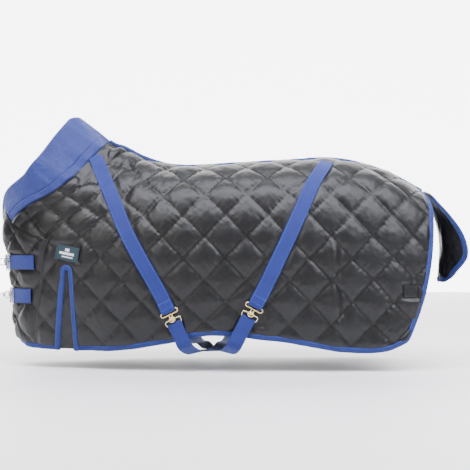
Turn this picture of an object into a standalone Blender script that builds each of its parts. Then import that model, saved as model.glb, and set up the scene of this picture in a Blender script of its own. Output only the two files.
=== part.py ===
"""Quilted horse rug with a padded collar, surcingles, belly straps, chest clips and a tail flap.

Metres, +Z up, +X towards the tail, -Y on the horse's left (near) side.
The origin is on the rug at the withers, where the collar meets the back.
"""
import math

import bmesh
import bpy
from mathutils import Matrix, Vector
from mathutils.bvhtree import BVHTree

# driving sizes
body_length = 1.505          # chest closure to rear edge
body_depth = 0.735           # withers to the lowest stretch of hem
body_half_width = 0.275      # rug spread at the widest part of the barrel
shell_thick = 0.0012         # outer nylon
padding_thick = 0.0080       # quilt wadding
lining_thick = 0.0012        # nylon lining
layer_gap = 0.0004           # left between touching layers and pieces
chest_gap = 0.0012           # the chest turns sharply, so its panels stop further short of the binding
binding_width = 0.018        # webbing folded over every raw edge
binding_proud = 0.0014       # binding outside the shell and inside the lining
gusset_width = 0.060         # shoulder pleat at the hem
gusset_binding_width = 0.017
flap_length = 0.340          # tail flap from seam to tip
flap_half_width = 0.150
flap_thick = 0.0070
surcingle_width = 0.050
surcingle_thick = 0.0024
surcingle_stand_off = 0.0023  # lets the flat strap lie over the curved quilt
belly_drop = body_depth + 0.015  # lowest point of the belly straps under the withers
belly_turn = body_depth - 0.020  # the belly straps turn inwards this far under the withers
belly_crossing = surcingle_width * 0.08  # each belly strap is this far from that depth at the crossing
belly_strap_thick = 0.0024
belly_pivot_gap = 0.0037     # lets a belly strap swing under its far bar
fitting_width = surcingle_width + 0.012  # hook loop and belly ring across the webbing
fitting_wire = 0.0046        # wire diameter of the rings
chest_strap_width = 0.050
chest_strap_thick = 0.0022
leg_patch_length = 0.045
leg_patch_height = 0.040
leg_ring_width = 0.034
label_length = 0.076
label_height = 0.046
fold_radius = 0.0042         # webbing folded round a bar
strap_lift = 0.0118          # a surcingle's end stands this far off the quilt
lift_length = 0.070          # the last stretch hangs free of the quilt
plate_gap = 0.0004
adjuster_drop = 0.055        # from the far bar to the belly strap's slider
chest_ring_out = 0.0044      # chest fittings beyond the end of their strap
chest_ring_proud = 0.0042    # and outside it

mm = 0.001
drawn_length = 1.505         # the outline below is drawn at these three sizes
drawn_depth = 0.735
drawn_half_width = 0.275
size_x = body_length / drawn_length
size_z = body_depth / drawn_depth
chest_stand_off = 0.0040 * size_x  # the chest bulges more when it is longer
chest_levels = {  # strap height and its back end
    "upper": (-0.433 * size_z, -0.245 * size_x),
    "lower": (-0.551 * size_z, -0.258 * size_x),
}
leg_patch_place = (1.045 * size_x, -0.530 * size_z)
label_place = (-0.125 * size_x, -0.405 * size_z)
# surcingle centre lines in the side view, from the topline to the clasp
surcingle_lines = {
    "front": ((-0.014, -0.125), (0.032, -0.219), (0.087, -0.340), (0.189, -0.520), (0.226, -0.592)),
    "rear": ((0.768, -0.090), (0.715, -0.166), (0.663, -0.277), (0.561, -0.492), (0.518, -0.574)),
}

# The near half of the rug: rows run from the chest or neck to the tail, in mm.
# Each point is (along, spread from the centre plane, up).
rug_rows = (
    # topline
    ((-130, 0, 101), (0, 0, 0), (58, 0, -25), (137, 0, -63), (252, 0, -90),
     (450, 0, -82), (630, 0, -72), (810, 0, -65), (980, 0, -106), (1120, 0, -178)),
    # back
    ((-145, 45, 71), (-26, 55, -33), (36, 65, -62), (122, 80, -95), (250, 100, -113),
     (450, 105, -103), (625, 105, -93), (800, 105, -89), (973, 100, -127), (1127, 85, -202)),
    # loin
    ((-212, 90, -21), (-92, 115, -111), (-20, 135, -147), (97, 160, -172), (244, 190, -180),
     (450, 200, -170), (624, 200, -164), (803, 195, -163), (984, 175, -187), (1136, 150, -245)),
    # ribs
    ((-287, 100, -117), (-163, 150, -175), (-70, 175, -228), (64, 205, -270), (237, 240, -277),
     (450, 250, -274), (630, 250, -274), (812, 240, -277), (992, 215, -294), (1132, 190, -330)),
    # widest
    ((-385, 10, -223), (-336, 85, -292), (-195, 170, -355), (19, 225, -382), (224, 260, -392),
     (450, 270, -395), (630, 270, -398), (817, 260, -402), (996, 235, -416), (1122, 210, -430)),
    # flank
    ((-343, 10, -518), (-333, 60, -521), (-226, 150, -529), (0, 225, -538), (215, 262, -536),
     (450, 275, -538), (630, 275, -543), (816, 265, -546), (994, 245, -552), (1097, 230, -545)),
    # low
    ((-338, 10, -640), (-328, 55, -650), (-243, 130, -661), (4, 213, -645), (204, 253, -631),
     (410, 270, -612), (620, 273, -630), (820, 265, -647), (983, 250, -652), (1062, 240, -645)),
    # hem
    ((-330, 10, -700), (-300, 60, -722), (-242, 105, -735), (15, 200, -735), (196, 240, -711),
     (370, 265, -677), (611, 270, -699), (820, 265, -733), (956, 255, -731), (1035, 250, -700)),
)
last_column = len(rug_rows[0]) - 1
last_row = len(rug_rows) - 1
collar_column = 1.0          # the collar ends on this column and row
collar_row = 4.0
seam_column = 2.0            # chest panel seam
gusset_column = 2.46
gusset_row = 4.5             # top of the shoulder pleat


def clear_scene():
    for thing in list(bpy.data.objects):
        bpy.data.objects.remove(thing, do_unlink=True)


def material(name, color, roughness, metallic=0.0):
    made = bpy.data.materials.get(name)
    if made is None:
        made = bpy.data.materials.new(name)
        made.use_nodes = True
        shader = made.node_tree.nodes["Principled BSDF"]
        shader.inputs["Base Color"].default_value = (*color, 1.0)
        shader.inputs["Roughness"].default_value = roughness
        shader.inputs["Metallic"].default_value = metallic
    return made


def shell_nylon():
    return material("charcoal_nylon", (0.035, 0.036, 0.038), 0.45)


def wadding():
    return material("polyester_wadding", (0.80, 0.80, 0.78), 0.95)


def lining_nylon():
    return material("black_lining", (0.012, 0.012, 0.014), 0.55)


def blue_webbing():
    return material("blue_webbing", (0.025, 0.055, 0.30), 0.70)


def blue_collar():
    return material("blue_collar_nylon", (0.045, 0.09, 0.36), 0.62)


def label_cloth():
    return material("teal_label", (0.02, 0.11, 0.16), 0.60)


def nickel():
    return material("nickel_plate", (0.72, 0.72, 0.74), 0.22, 1.0)


def brass():
    return material("brass_plate", (0.74, 0.56, 0.26), 0.28, 1.0)


def new_object(name, vertices, faces, finish, smooth=False):
    mesh = bpy.data.meshes.new(name)
    mesh.from_pydata([tuple(v) for v in vertices], [], faces)
    shape = bmesh.new()
    shape.from_mesh(mesh)
    bmesh.ops.recalc_face_normals(shape, faces=shape.faces)
    shape.to_mesh(mesh)
    shape.free()
    mesh.materials.append(finish)
    if smooth:
        mesh.shade_smooth()
    thing = bpy.data.objects.new(name, mesh)
    bpy.context.collection.objects.link(thing)
    return thing


def put_origin(thing, pivot):
    """Moves an object's origin to its joint and leaves its mesh where it is."""
    thing.data.transform(Matrix.Translation(-Vector(pivot)))
    thing.location = pivot
    return thing


def cubic(values, t):
    """Catmull-Rom through evenly numbered values, extended straight at its ends."""
    last = len(values) - 1
    k = min(max(int(math.floor(t)), 0), last - 1)
    f = t - k
    p1 = values[k]
    p2 = values[k + 1]
    p0 = values[k - 1] if k > 0 else p1 * 2 - p2
    p3 = values[k + 2] if k < last - 1 else p2 * 2 - p1
    a = (p2 - p0) * 0.5
    b = p0 - p1 * 2.5 + p2 * 2 - p3 * 0.5
    c = (p3 - p0) * 0.5 + (p1 - p2) * 1.5
    return p1 + (a + (b + c * f) * f) * f


def scaled_rows():
    size = Vector((size_x, body_half_width / drawn_half_width, size_z))
    return [[Vector(p) * mm * size for p in row] for row in rug_rows]


net = scaled_rows()


def surface(u, v):
    """A point of the shell's outer face. u runs along the columns, v down the near rows,
    and a negative v is the far side."""
    point = cubic([cubic(row, u) for row in net], abs(v))
    side = -1.0 if v >= 0 else 1.0
    return Vector((point.x, side * max(point.y, 0.0), point.z))


def outward(u, v):
    step = 0.02
    near_v = max(abs(v), 0.0)
    u_low = max(u - step, 0.0)
    u_high = min(u + step, last_column)
    v_low = max(near_v - step, 0.0)
    v_high = min(near_v + step, last_row)
    along = surface(u_high, near_v) - surface(u_low, near_v)
    down = surface(u, v_high) - surface(u, v_low)
    normal = down.cross(along).normalized()
    if near_v < 1e-6:
        normal.y = 0.0
        normal.normalize()
    if v < 0:
        normal.y = -normal.y
    return normal


def find_on_rug(x, z, guess=(4.0, 3.0)):
    """The (u, v) whose side view is at (x, z), by Newton's method."""
    u, v = guess
    for _ in range(30):
        here = surface(u, v)
        right = surface(u + 0.01, v) - here
        below = surface(u, v + 0.01) - here
        det = right.x * below.z - right.z * below.x
        dx = x - here.x
        dz = z - here.z
        u += 0.01 * (dx * below.z - dz * below.x) / det
        v += 0.01 * (dz * right.x - dx * right.z) / det
        u = min(max(u, 0.0), last_column)
        v = min(max(v, 0.0), last_row)
    return u, v


def share_of_column(width, column, row):
    across = surface(column + 0.5, row) - surface(column - 0.5, row)
    return width / across.length


def share_of_row(width, column, row):
    down = surface(column, row) - surface(column, row - 0.5)
    return width / (down.length * 2)


# grid lines: each is a column or row number, at which the cloth is cut or only creased
edge_row = last_row - share_of_row(binding_width, 5.0, last_row)
spine_row = share_of_row(binding_width * 0.8, 5.0, 0.5)
rear_column = last_column - share_of_column(binding_width, last_column - 0.5, 4.0)
front_column = share_of_column(binding_width, 0.5, 5.0)
chest_strap_front = front_column + 0.03  # the chest straps end here, beside the binding
slit_low = share_of_column(gusset_width * 0.5, gusset_column, 6.0)
slit_top = slit_low * 0.25
slit_binding = share_of_column(gusset_binding_width, gusset_column, 6.0)

near_rows = [0.0, spine_row, 0.5, 1.0, 1.5, 2.0, 2.6, 3.3, collar_row, gusset_row, 5.3, 6.1, edge_row,
             float(last_row)]
row_lines = [-v for v in reversed(near_rows[1:])] + near_rows
middle = len(near_rows) - 1
column_lines = [0.0, front_column, 0.4, 0.7, collar_column, 1.5, seam_column,
                "slit_a", "slit_b", "slit_c", "slit_d",
                3.0, 4.0, 5.0, 6.0, 7.0, 8.0, rear_column, float(last_column)]
top_j = near_rows.index(gusset_row)
collar_j = near_rows.index(collar_row)
hem_j = near_rows.index(edge_row)
rear_i = column_lines.index(rear_column)
collar_i = column_lines.index(collar_column)
seam_i = column_lines.index(seam_column)
slit_i = column_lines.index("slit_a")


def column_at(i, v):
    """Column number of grid line i at row v. The pleat's lines spread towards the hem."""
    line = column_lines[i]
    if not isinstance(line, str):
        return line
    fall = min(max((abs(v) - gusset_row) / (last_row - gusset_row), 0.0), 1.0)
    half = slit_top + (slit_low - slit_top) * fall
    shift = {"slit_a": -half - slit_binding, "slit_b": -half, "slit_c": half,
             "slit_d": half + slit_binding}[line]
    return gusset_column + shift


def grid_point(i, j, depth):
    v = row_lines[j]
    u = column_at(i, v)
    return surface(u, v) - outward(u, v) * depth


def cell_solid(name, cells, point, outer, inner, finish, gap=layer_gap):
    """One closed solid of the given grid cells, between two depths, drawn in by the gap at its edges."""
    cells = set(cells)
    corners = sorted({(i + a, j + b) for i, j in cells for a in (0, 1) for b in (0, 1)})
    number = {corner: n for n, corner in enumerate(corners)}
    vertices = []
    for depth in (outer, inner):
        for i, j in corners:
            here = point(i, j, depth)
            moved = here.copy()
            left = (i - 1, j - 1) in cells or (i - 1, j) in cells
            right = (i, j - 1) in cells or (i, j) in cells
            above = (i - 1, j - 1) in cells or (i, j - 1) in cells
            below = (i - 1, j) in cells or (i, j) in cells
            if left != right:
                moved += (point(i + (1 if right else -1), j, depth) - here).normalized() * gap
            if above != below:
                moved += (point(i, j + (1 if below else -1), depth) - here).normalized() * gap
            vertices.append(moved)
    count = len(corners)
    faces = []
    for i, j in sorted(cells):
        a, b = number[(i, j)], number[(i, j + 1)]
        c, d = number[(i + 1, j + 1)], number[(i + 1, j)]
        faces += [(a, b, c), (a, c, d)]
        faces += [(count + c, count + b, count + a), (count + d, count + c, count + a)]
        if (i, j - 1) not in cells:
            faces += [(a, d, count + d), (a, count + d, count + a)]
        if (i, j + 1) not in cells:
            faces += [(c, b, count + c), (b, count + b, count + c)]
        if (i - 1, j) not in cells:
            faces += [(b, a, count + a), (b, count + a, count + b)]
        if (i + 1, j) not in cells:
            faces += [(d, c, count + d), (c, count + c, count + d)]
    return new_object(name, vertices, faces, finish)


def half_cells(side, i_range, j_range):
    """Cells of the near (left) or far (right) half, counted down from the spine."""
    if side == "left":
        return [(i, middle + j) for i in i_range for j in j_range]
    return [(i, middle - 1 - j) for i in i_range for j in j_range]


last_i = len(column_lines) - 1
last_j = len(near_rows) - 1
depth_shell = (0.0, shell_thick)
depth_padding = (shell_thick + layer_gap, shell_thick + layer_gap + padding_thick)
depth_lining = (depth_padding[1] + layer_gap, depth_padding[1] + layer_gap + lining_thick)
depth_binding = (-binding_proud, depth_lining[1] + binding_proud)
layers = (("shell", depth_shell, shell_nylon), ("padding", depth_padding, wadding),
          ("lining", depth_lining, lining_nylon))


def rug_panels():
    """Main panel and chest panel of each side, in three layers."""
    for side in ("left", "right"):
        main = half_cells(side, range(collar_i, rear_i), range(1, collar_j))
        main += half_cells(side, range(seam_i, slit_i), range(collar_j, hem_j))
        main += half_cells(side, range(slit_i + 3, rear_i), range(collar_j, hem_j))
        main += half_cells(side, range(slit_i, slit_i + 3), range(collar_j, top_j))
        chest = half_cells(side, range(1, seam_i), range(collar_j, hem_j))
        for layer, (outer, inner), finish in layers:
            cell_solid(f"{side}_{layer}", main, grid_point, outer, inner, finish())
            cell_solid(f"{side}_chest_{layer}", chest, grid_point, outer, inner, finish(), chest_gap)


def shoulder_gussets():
    """The pleat panel behind each shoulder slit, and the binding round the slit."""
    for side in ("left", "right"):
        panel = half_cells(side, [slit_i + 1], range(top_j + 1, hem_j))
        inset = depth_lining[1] * 0.4
        cell_solid(f"{side}_gusset_panel", panel, grid_point, inset, depth_lining[1], lining_nylon())
        arms = half_cells(side, [slit_i, slit_i + 2], range(top_j, hem_j))
        arms += half_cells(side, [slit_i + 1], [top_j])
        cell_solid(f"{side}_gusset_binding", arms, grid_point, *depth_binding, blue_webbing())


def edge_bindings():
    """Folded webbing along the spine and round the front, hem and rear of each side."""
    outer, inner = depth_binding
    spine = [(i, middle + j) for i in range(collar_i, last_i) for j in (-1, 0)]
    cell_solid("spine_binding", spine, grid_point, outer, inner, blue_webbing())
    for side in ("left", "right"):
        hem = half_cells(side, range(0, last_i), [hem_j])
        rear = half_cells(side, [rear_i], range(1, hem_j))
        front = half_cells(side, [0], range(collar_j, hem_j))
        cell_solid(f"{side}_edge_binding", hem + rear + front, grid_point, outer, inner, blue_webbing())


def neck_collar():
    """Padded collar over the neck in one piece, with its lining."""
    cells = [(i, middle + j) for i in range(0, collar_i) for j in range(-collar_j, collar_j)]
    thick = depth_padding[1]
    cell_solid("neck_collar", cells, grid_point, 0.0, thick, blue_collar())
    cell_solid("collar_lining", cells, grid_point, thick + layer_gap, depth_lining[1] + layer_gap,
               lining_nylon())


def flap_point(across, down):
    """A point on the tail flap's outer face: across runs -1 to 1 and down 0 to 1."""
    share = flap_length / 0.340
    spine = [Vector((0.0082, 0, -0.003)), Vector((0.054, 0, -0.077)), Vector((0.068, 0, -0.152)),
             Vector((0.072, 0, -0.232)), Vector((0.071, 0, -0.292)), Vector((0.069, 0, -0.328))]
    flare = [0.013, 0.024, 0.058, 0.064, 0.034, 0.006]
    spread = [0.72, 0.90, 1.00, 0.88, 0.62, 0.34]
    t = down * (len(spine) - 1)
    centre = cubic(spine, t)
    out = cubic(flare, t) * across * across
    sag = -0.016 * across * across * (1.0 - down)
    top = surface(last_column, 0.0)
    return top + Vector((centre.x + out, across * cubic(spread, t) * flap_half_width,
                         centre.z * share + sag))


def flap_grid(i, j, depth):
    columns = 8
    rows = 6
    across = -1.0 + 2.0 * i / columns
    down = j / rows
    step = 0.02
    here = flap_point(across, down)
    side = flap_point(across + step, down) - flap_point(across - step, down)
    fall = flap_point(across, down + step) - flap_point(across, down - step)
    normal = side.cross(fall).normalized()
    if normal.x < 0:
        normal = -normal
    return here - normal * depth


def tail_flap():
    """Flap over the tail: outer cloth, padded lining and a binding on its free edge."""
    pivot = surface(last_column, 0.0) + Vector((0.002, 0.0, 0.0))
    body = [(i, j) for i in range(1, 7) for j in range(0, 5)]
    edge = [(i, j) for i in range(8) for j in range(6) if (i, j) not in body]
    half = flap_thick * 0.5
    made = [cell_solid("tail_flap_shell", body, flap_grid, 0.0, half, shell_nylon()),
            cell_solid("tail_flap_lining", body, flap_grid, half + layer_gap, flap_thick, lining_nylon()),
            cell_solid("tail_flap_binding", edge, flap_grid, -0.001, flap_thick + 0.001, blue_webbing(),
                       layer_gap * 1.4)]
    for thing in made:
        put_origin(thing, pivot)


def mesh_tree(*names):
    """A search tree over the named objects' meshes."""
    vertices = []
    faces = []
    for name in names:
        mesh = bpy.data.objects[name].data
        start = len(vertices)
        vertices += [v.co.copy() for v in mesh.vertices]
        faces += [[start + n for n in face.vertices] for face in mesh.polygons]
    return BVHTree.FromPolygons(vertices, faces)


def laid_point(tree, point, height):
    """The point at this height above the nearest face of what it lies on."""
    spot, normal, _, _ = tree.find_nearest(point)
    side = point - spot
    if side.length > 1e-5 and side.dot(normal) > 0:
        normal = side.normalized()
    return spot + normal * height


def strip(name, rows, thick, finish, gap=0.0):
    """A band of cloth. rows holds, for each step along it, its points across with their normals."""
    def point(i, j, depth):
        place, normal = rows[j][i]
        return place + normal * (thick - depth)
    cells = [(i, j) for i in range(len(rows[0]) - 1) for j in range(len(rows) - 1)]
    thing = cell_solid(name, cells, point, 0.0, thick, finish, gap)
    return thing


def spaced(points, step):
    """A smooth line through the points, cut into even steps."""
    fine = [cubic(points, k * (len(points) - 1) / 200) for k in range(201)]
    lengths = [0.0]
    for a, b in zip(fine, fine[1:]):
        lengths.append(lengths[-1] + (b - a).length)
    count = max(2, round(lengths[-1] / step))
    out = []
    k = 0
    for n in range(count + 1):
        want = lengths[-1] * n / count
        while k < len(fine) - 2 and lengths[k + 1] < want:
            k += 1
        span = lengths[k + 1] - lengths[k]
        out.append(fine[k].lerp(fine[k + 1], (want - lengths[k]) / span if span else 0.0))
    return out


def mirrored(point, side):
    return Vector((point.x, -point.y, point.z)) if side == "right" else Vector(point)


def surcingle_path(which):
    """Centre line of a near-side surcingle on the shell, with outward normals."""
    flat = spaced([Vector((x * size_x, 0, z * size_z)) for x, z in surcingle_lines[which]], 0.017)
    guess = (1.0, 1.5) if which == "front" else (6.9, 0.6)
    places = []
    for p in flat:
        guess = find_on_rug(p.x, p.z, guess)
        places.append((surface(*guess), outward(*guess)))
    return places


def surcingle(which, side, tree):
    """A surcingle sewn down the side, its end folded round the hook's or ring's bar."""
    places = surcingle_path(which)
    total = sum((b[0] - a[0]).length for a, b in zip(places, places[1:]))
    rows = []
    run = 0.0
    for k, (place, normal) in enumerate(places):
        before = places[max(k - 1, 0)][0]
        after = places[min(k + 1, len(places) - 1)][0]
        along = (after - before).normalized()
        across = normal.cross(along).normalized()
        if k:
            run += (place - places[k - 1][0]).length
        free = max(0.0, 1.0 - (total - run) / lift_length)
        row = []
        for share in (-0.5, -0.167, 0.167, 0.5):
            spot = mirrored(place + across * share * surcingle_width, side)
            facing = mirrored(normal, side)
            laid = laid_point(tree, spot, surcingle_stand_off)
            flat_spot = mirrored(place + across * share * surcingle_width + normal * strap_lift, side)
            row.append((laid.lerp(flat_spot, free * free), facing))
        rows.append(row if side == "left" else row[::-1])
    end, normal = places[-1]
    along = (end - places[-2][0]).normalized()
    across = normal.cross(along).normalized()
    bar = end + normal * (strap_lift - fold_radius) + along * 0.001
    for angle in (45, 90, 135, 180):
        turn = math.radians(angle)
        outwards = normal * math.cos(turn) + along * math.sin(turn)
        row = []
        for share in (-0.5, -0.167, 0.167, 0.5):
            spot = bar + across * share * surcingle_width + outwards * fold_radius
            row.append((mirrored(spot, side), mirrored(outwards, side)))
        rows.append(row if side == "left" else row[::-1])
    for back in (0.012, 0.024):
        row = []
        for share in (-0.5, -0.167, 0.167, 0.5):
            spot = bar - normal * fold_radius - along * back + across * share * surcingle_width
            row.append((mirrored(spot, side), mirrored(-normal, side)))
        rows.append(row if side == "left" else row[::-1])
    strip(f"{side}_{which}_surcingle", rows, surcingle_thick, blue_webbing())
    return mirrored(bar, side), mirrored(along, side), mirrored(across, side), mirrored(normal, side)


def flat_plate(name, centre, right, up, width, height, thick, finish, holes=()):
    """A flat plate, face up along right x up. holes are (x0, y0, x1, y1) from its lower left corner."""
    xs = sorted({0.0, width, *[x for h in holes for x in (h[0], h[2])]})
    ys = sorted({0.0, height, *[y for h in holes for y in (h[1], h[3])]})
    facing = right.cross(up).normalized()

    def point(i, j, depth):
        along = right * (xs[i] - width * 0.5) + up * (ys[len(ys) - 1 - j] - height * 0.5)
        return centre + along + facing * (thick * 0.5 - depth)

    def open_cell(i, j):
        mid_x = (xs[i] + xs[i + 1]) * 0.5
        mid_y = (ys[len(ys) - 1 - j] + ys[len(ys) - 2 - j]) * 0.5
        return any(h[0] < mid_x < h[2] and h[1] < mid_y < h[3] for h in holes)

    cells = [(i, j) for i in range(len(xs) - 1) for j in range(len(ys) - 1) if not open_cell(i, j)]
    return cell_solid(name, cells, point, 0.0, thick, finish, 0.0)


def tube(name, points, radius, finish, closed=False, sides=6):
    """Round wire along the points."""
    count = len(points)
    vertices = []
    up = None
    for k, here in enumerate(points):
        before = points[(k - 1) % count] if closed or k else here
        after = points[(k + 1) % count] if closed or k < count - 1 else here
        along = (after - before).normalized()
        if up is None:
            up = along.orthogonal().normalized()
        up = (up - along * up.dot(along)).normalized()
        side = along.cross(up)
        for n in range(sides):
            turn = 2 * math.pi * n / sides
            vertices.append(here + (up * math.cos(turn) + side * math.sin(turn)) * radius)
    faces = []
    for k in range(count if closed else count - 1):
        for n in range(sides):
            a = k * sides + n
            b = k * sides + (n + 1) % sides
            c = (k + 1) % count * sides + (n + 1) % sides
            d = (k + 1) % count * sides + n
            faces.append((a, b, c, d))
    if not closed:
        faces.append(tuple(reversed(range(sides))))
        faces.append(tuple((count - 1) * sides + n for n in range(sides)))
    return new_object(name, vertices, faces, finish, True)


def rounded_loop(centre, right, up, width, height, corner):
    """Points round a rectangle with round corners, for a wire's centre line."""
    points = []
    for quarter, (sx, sy) in enumerate(((1, 1), (-1, 1), (-1, -1), (1, -1))):
        for step in (0, 1, 2):
            turn = math.pi * 0.5 * quarter + math.pi * 0.25 * step
            x = sx * (width * 0.5 - corner) + corner * math.cos(turn)
            y = sy * (height * 0.5 - corner) + corner * math.sin(turn)
            points.append(centre + right * x + up * y)
    return points


def hook(which, bar, along, across, normal):
    """Cast hook on the surcingle: a two-rail loop for the webbing and a head that dips over the ring."""
    rail = fitting_wire
    window = 2 * (fold_radius - rail * 0.5) + rail * 0.4
    half = fitting_width * 0.5
    head_half = 0.011
    xs = [-half, -half + rail, -head_half, head_half, half - rail, half]
    # along the hook's run and out from the rug
    profile = [(-rail * 0.5, 0.0), (rail * 0.5, 0.0), (rail * 0.5 + 0.009, 0.0),
               (rail * 1.5 + 0.009, 0.0), (0.024, 0.003), (0.031, 0.0055), (0.038, 0.0062)]
    thick = rail

    def point(i, j, depth):
        run, out = profile[j]
        return bar + across * xs[i] + along * run + normal * (out + thick * 0.5 - depth)

    cells = [(i, 0) for i in range(5)] + [(0, 1), (4, 1)] + [(i, 2) for i in range(5)]
    cells += [(2, 3), (2, 4), (2, 5)]
    thing = cell_solid(f"{which}_hook", cells, point, 0.0, thick, brass(), 0.0)
    put_origin(thing, bar)
    return bar + along * 0.031 + normal * 0.0005


def belly_ring(name, centre, along, across, normal):
    """Plated rectangular ring on a belly strap."""
    height = 0.017
    middle_line = centre + along * (height * 0.5)
    loop = rounded_loop(middle_line, across, along, fitting_width - 0.006, height, 0.004)
    thing = tube(name, loop, fitting_wire * 0.5 - 0.0002, nickel(), closed=True)
    put_origin(thing, centre + along * height)
    return centre + along * height


def belly_strap(which, near_bar, near_frame, far_bar, far_frame, drop):
    """Webbing from the far surcingle, under the belly, to the near clasp."""
    near_along, near_across, near_normal = near_frame
    far_along, far_across, far_normal = far_frame
    centre = (near_bar + far_bar) * 0.5
    low = Vector((centre.x, 0.0, -drop))
    start = near_bar + near_along * (fitting_wire * 0.5 + layer_gap)
    stop = far_bar + far_along * (fold_radius + surcingle_thick + belly_pivot_gap)

    def under_hem(end, along, normal):
        fall = (end.z + belly_turn) / -along.z
        return end + along * fall + normal * 0.006

    near_turn = under_hem(start, near_along, near_normal)
    far_turn = under_hem(stop, far_along, far_normal)
    route = [start, start.lerp(near_turn, 0.5) + near_normal * 0.004, near_turn,
             near_turn.lerp(low, 0.30) - Vector((0, 0, 0.014)), near_turn.lerp(low, 0.62), low,
             far_turn.lerp(low, 0.62), far_turn.lerp(low, 0.30) - Vector((0, 0, 0.014)), far_turn,
             stop.lerp(far_turn, 0.5) + far_normal * 0.004, stop]
    points = spaced(route, 0.040)
    rows = []
    last = len(points) - 1
    for k, here in enumerate(points):
        share = k / last
        tangent = (points[min(k + 1, last)] - points[max(k - 1, 0)]).normalized()
        width = near_across.lerp(-far_across, share) if near_across.dot(far_across) < 0 else \
            near_across.lerp(far_across, share)
        width = (width - tangent * width.dot(tangent)).normalized()
        face = width.cross(tangent).normalized()
        if face.dot(near_normal.lerp(far_normal, share) + Vector((0, 0, -1.5))) < 0:
            face = -face
        rows.append([(here + width * s * surcingle_width, face) for s in (-0.5, 0.0, 0.5)])
    thing = strip(f"{which}_belly_strap", rows, belly_strap_thick, blue_webbing())
    return thing, points


def rest_height(tree, centre, right, up, width, height, facing):
    """How far out along facing a flat plate at this centre must sit to clear what it lies on."""
    reach = 0.06
    highest = -reach
    for a in range(-4, 5):
        for b in range(-4, 5):
            over = centre + right * (a * width / 8) + up * (b * height / 8) + facing * reach
            _, _, _, distance = tree.ray_cast(over, -facing, reach * 2)
            if distance is not None:
                highest = max(highest, reach - distance)
    return highest


def seated_plate(name, tree, centre, right, up, width, height, thick, finish, holes=()):
    """A flat plate laid against what the tree holds, facing out."""
    facing = right.cross(up).normalized()
    lift = rest_height(tree, centre, right, up, width, height, facing)
    seat = centre + facing * (lift + thick * 0.5 + plate_gap)
    return flat_plate(name, seat, right, up, width, height, thick, finish, holes), seat, facing


def adjuster(which, far_bar, far_along, far_across, far_normal):
    """Three-bar slider on the belly strap, under its far end."""
    tree = mesh_tree(f"{which}_belly_strap")
    bar = 0.0045
    width = surcingle_width + 2 * bar + 0.002
    height = 0.030
    slot_high = (height - 3 * bar) * 0.5
    holes = ((bar, bar, width - bar, bar + slot_high),
             (bar, bar * 2 + slot_high, width - bar, height - bar))
    centre = far_bar + far_along * adjuster_drop
    across = far_across
    if across.cross(-far_along).dot(far_normal) < 0:
        across = -across
    thing, seat, facing = seated_plate(f"{which}_strap_adjuster", tree, centre, across, -far_along,
                                       width, height, 0.0025, plated_black(), holes)
    put_origin(thing, seat)


def row_at_height(column, height_up):
    low = 3.6
    high = float(last_row)
    for _ in range(30):
        v = (low + high) * 0.5
        if surface(column, v).z > height_up:
            low = v
        else:
            high = v
    return v


def chest_strap(level, height_up, back_x, side):
    """Strap on the chest, laid round to the front edge."""
    steps = 12
    u_start, _ = find_on_rug(back_x, height_up, (1.6, 4.6))
    rows = []
    line = []
    for k in range(steps + 1):
        u = u_start + (chest_strap_front - u_start) * k / steps
        row = []
        for share in (-0.5, 0.0, 0.5):
            v = row_at_height(u, height_up + share * chest_strap_width)
            facing = outward(u, v)
            spot = surface(u, v) + facing * chest_stand_off
            row.append((mirrored(spot, side), mirrored(facing, side)))
        line.append(row[1])
        rows.append(row if side == "left" else row[::-1])
    strip(f"{side}_{level}_chest_strap", rows, chest_strap_thick, blue_webbing())
    ends = []
    for k in (steps, steps - 5):
        along = (line[min(k + 1, steps)][0] - line[k - 1][0]).normalized()
        ends.append((line[k][0], along, line[k][1]))
    return ends


def chest_slider(level, side, frame):
    """Three-bar slider on a chest strap."""
    place, along, normal = frame
    up = Vector((0, 0, 1))
    right = (along - up * along.z).normalized()
    if right.cross(up).dot(normal) < 0:
        right = -right
    bar = 0.0042
    width = 0.028
    height = chest_strap_width + 0.012
    slot_wide = (width - 3 * bar) * 0.5
    holes = ((bar, bar, bar + slot_wide, height - bar),
             (bar * 2 + slot_wide, bar, width - bar, height - bar))
    tree = mesh_tree(f"{side}_{level}_chest_strap", f"{side}_chest_shell", f"{side}_edge_binding")
    thing, seat, facing = seated_plate(f"{side}_{level}_chest_slider", tree, place, right, up, width,
                                       height, 0.0024, nickel(), holes)
    put_origin(thing, seat)


def plated_black():
    return material("black_plastic", (0.01, 0.01, 0.011), 0.4)


def d_ring(name, bar, right, down, width, height, finish, radius):
    """Half-round ring hanging from its straight bar."""
    points = []
    points.append(bar - right * width * 0.5)
    points.append(bar)
    points.append(bar + right * width * 0.5)
    for k in range(1, 8):
        turn = math.pi * k / 8
        points.append(bar + right * (width * 0.5 * math.cos(turn)) + down * (height * math.sin(turn)))
    thing = tube(name, points, radius, finish, closed=True)
    put_origin(thing, bar)
    return thing


def chest_fittings(level, side, end):
    """Snap with its gate on the left strap, ring on the right strap."""
    place, along, normal = end
    up = Vector((0, 0, 1))
    out = (along - up * along.z).normalized()
    facing = (normal - up * normal.z).normalized()
    bar = place + out * chest_ring_out + facing * chest_ring_proud
    if side == "right":
        reach = (out * 0.3 + facing * 0.95).normalized()
        d_ring(f"{level}_chest_ring", bar, up, reach, 0.040, 0.020, nickel(), 0.0021)
        return
    reach = (out * 0.25 + facing * 0.97).normalized()
    thick = 0.0040
    centre = bar + reach * 0.019
    snap_hole = ((0.008, 0.004, 0.020, 0.026),)
    thing = flat_plate(f"{level}_chest_snap", centre, reach, up, 0.032, 0.030, thick, nickel(), snap_hole)
    put_origin(thing, bar)
    bolt_centre = centre + reach * 0.0183
    bolt = flat_plate(f"{level}_snap_bolt", bolt_centre, reach, up, 0.0035, 0.016, 0.003, nickel())
    put_origin(bolt, bolt_centre)


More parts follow.
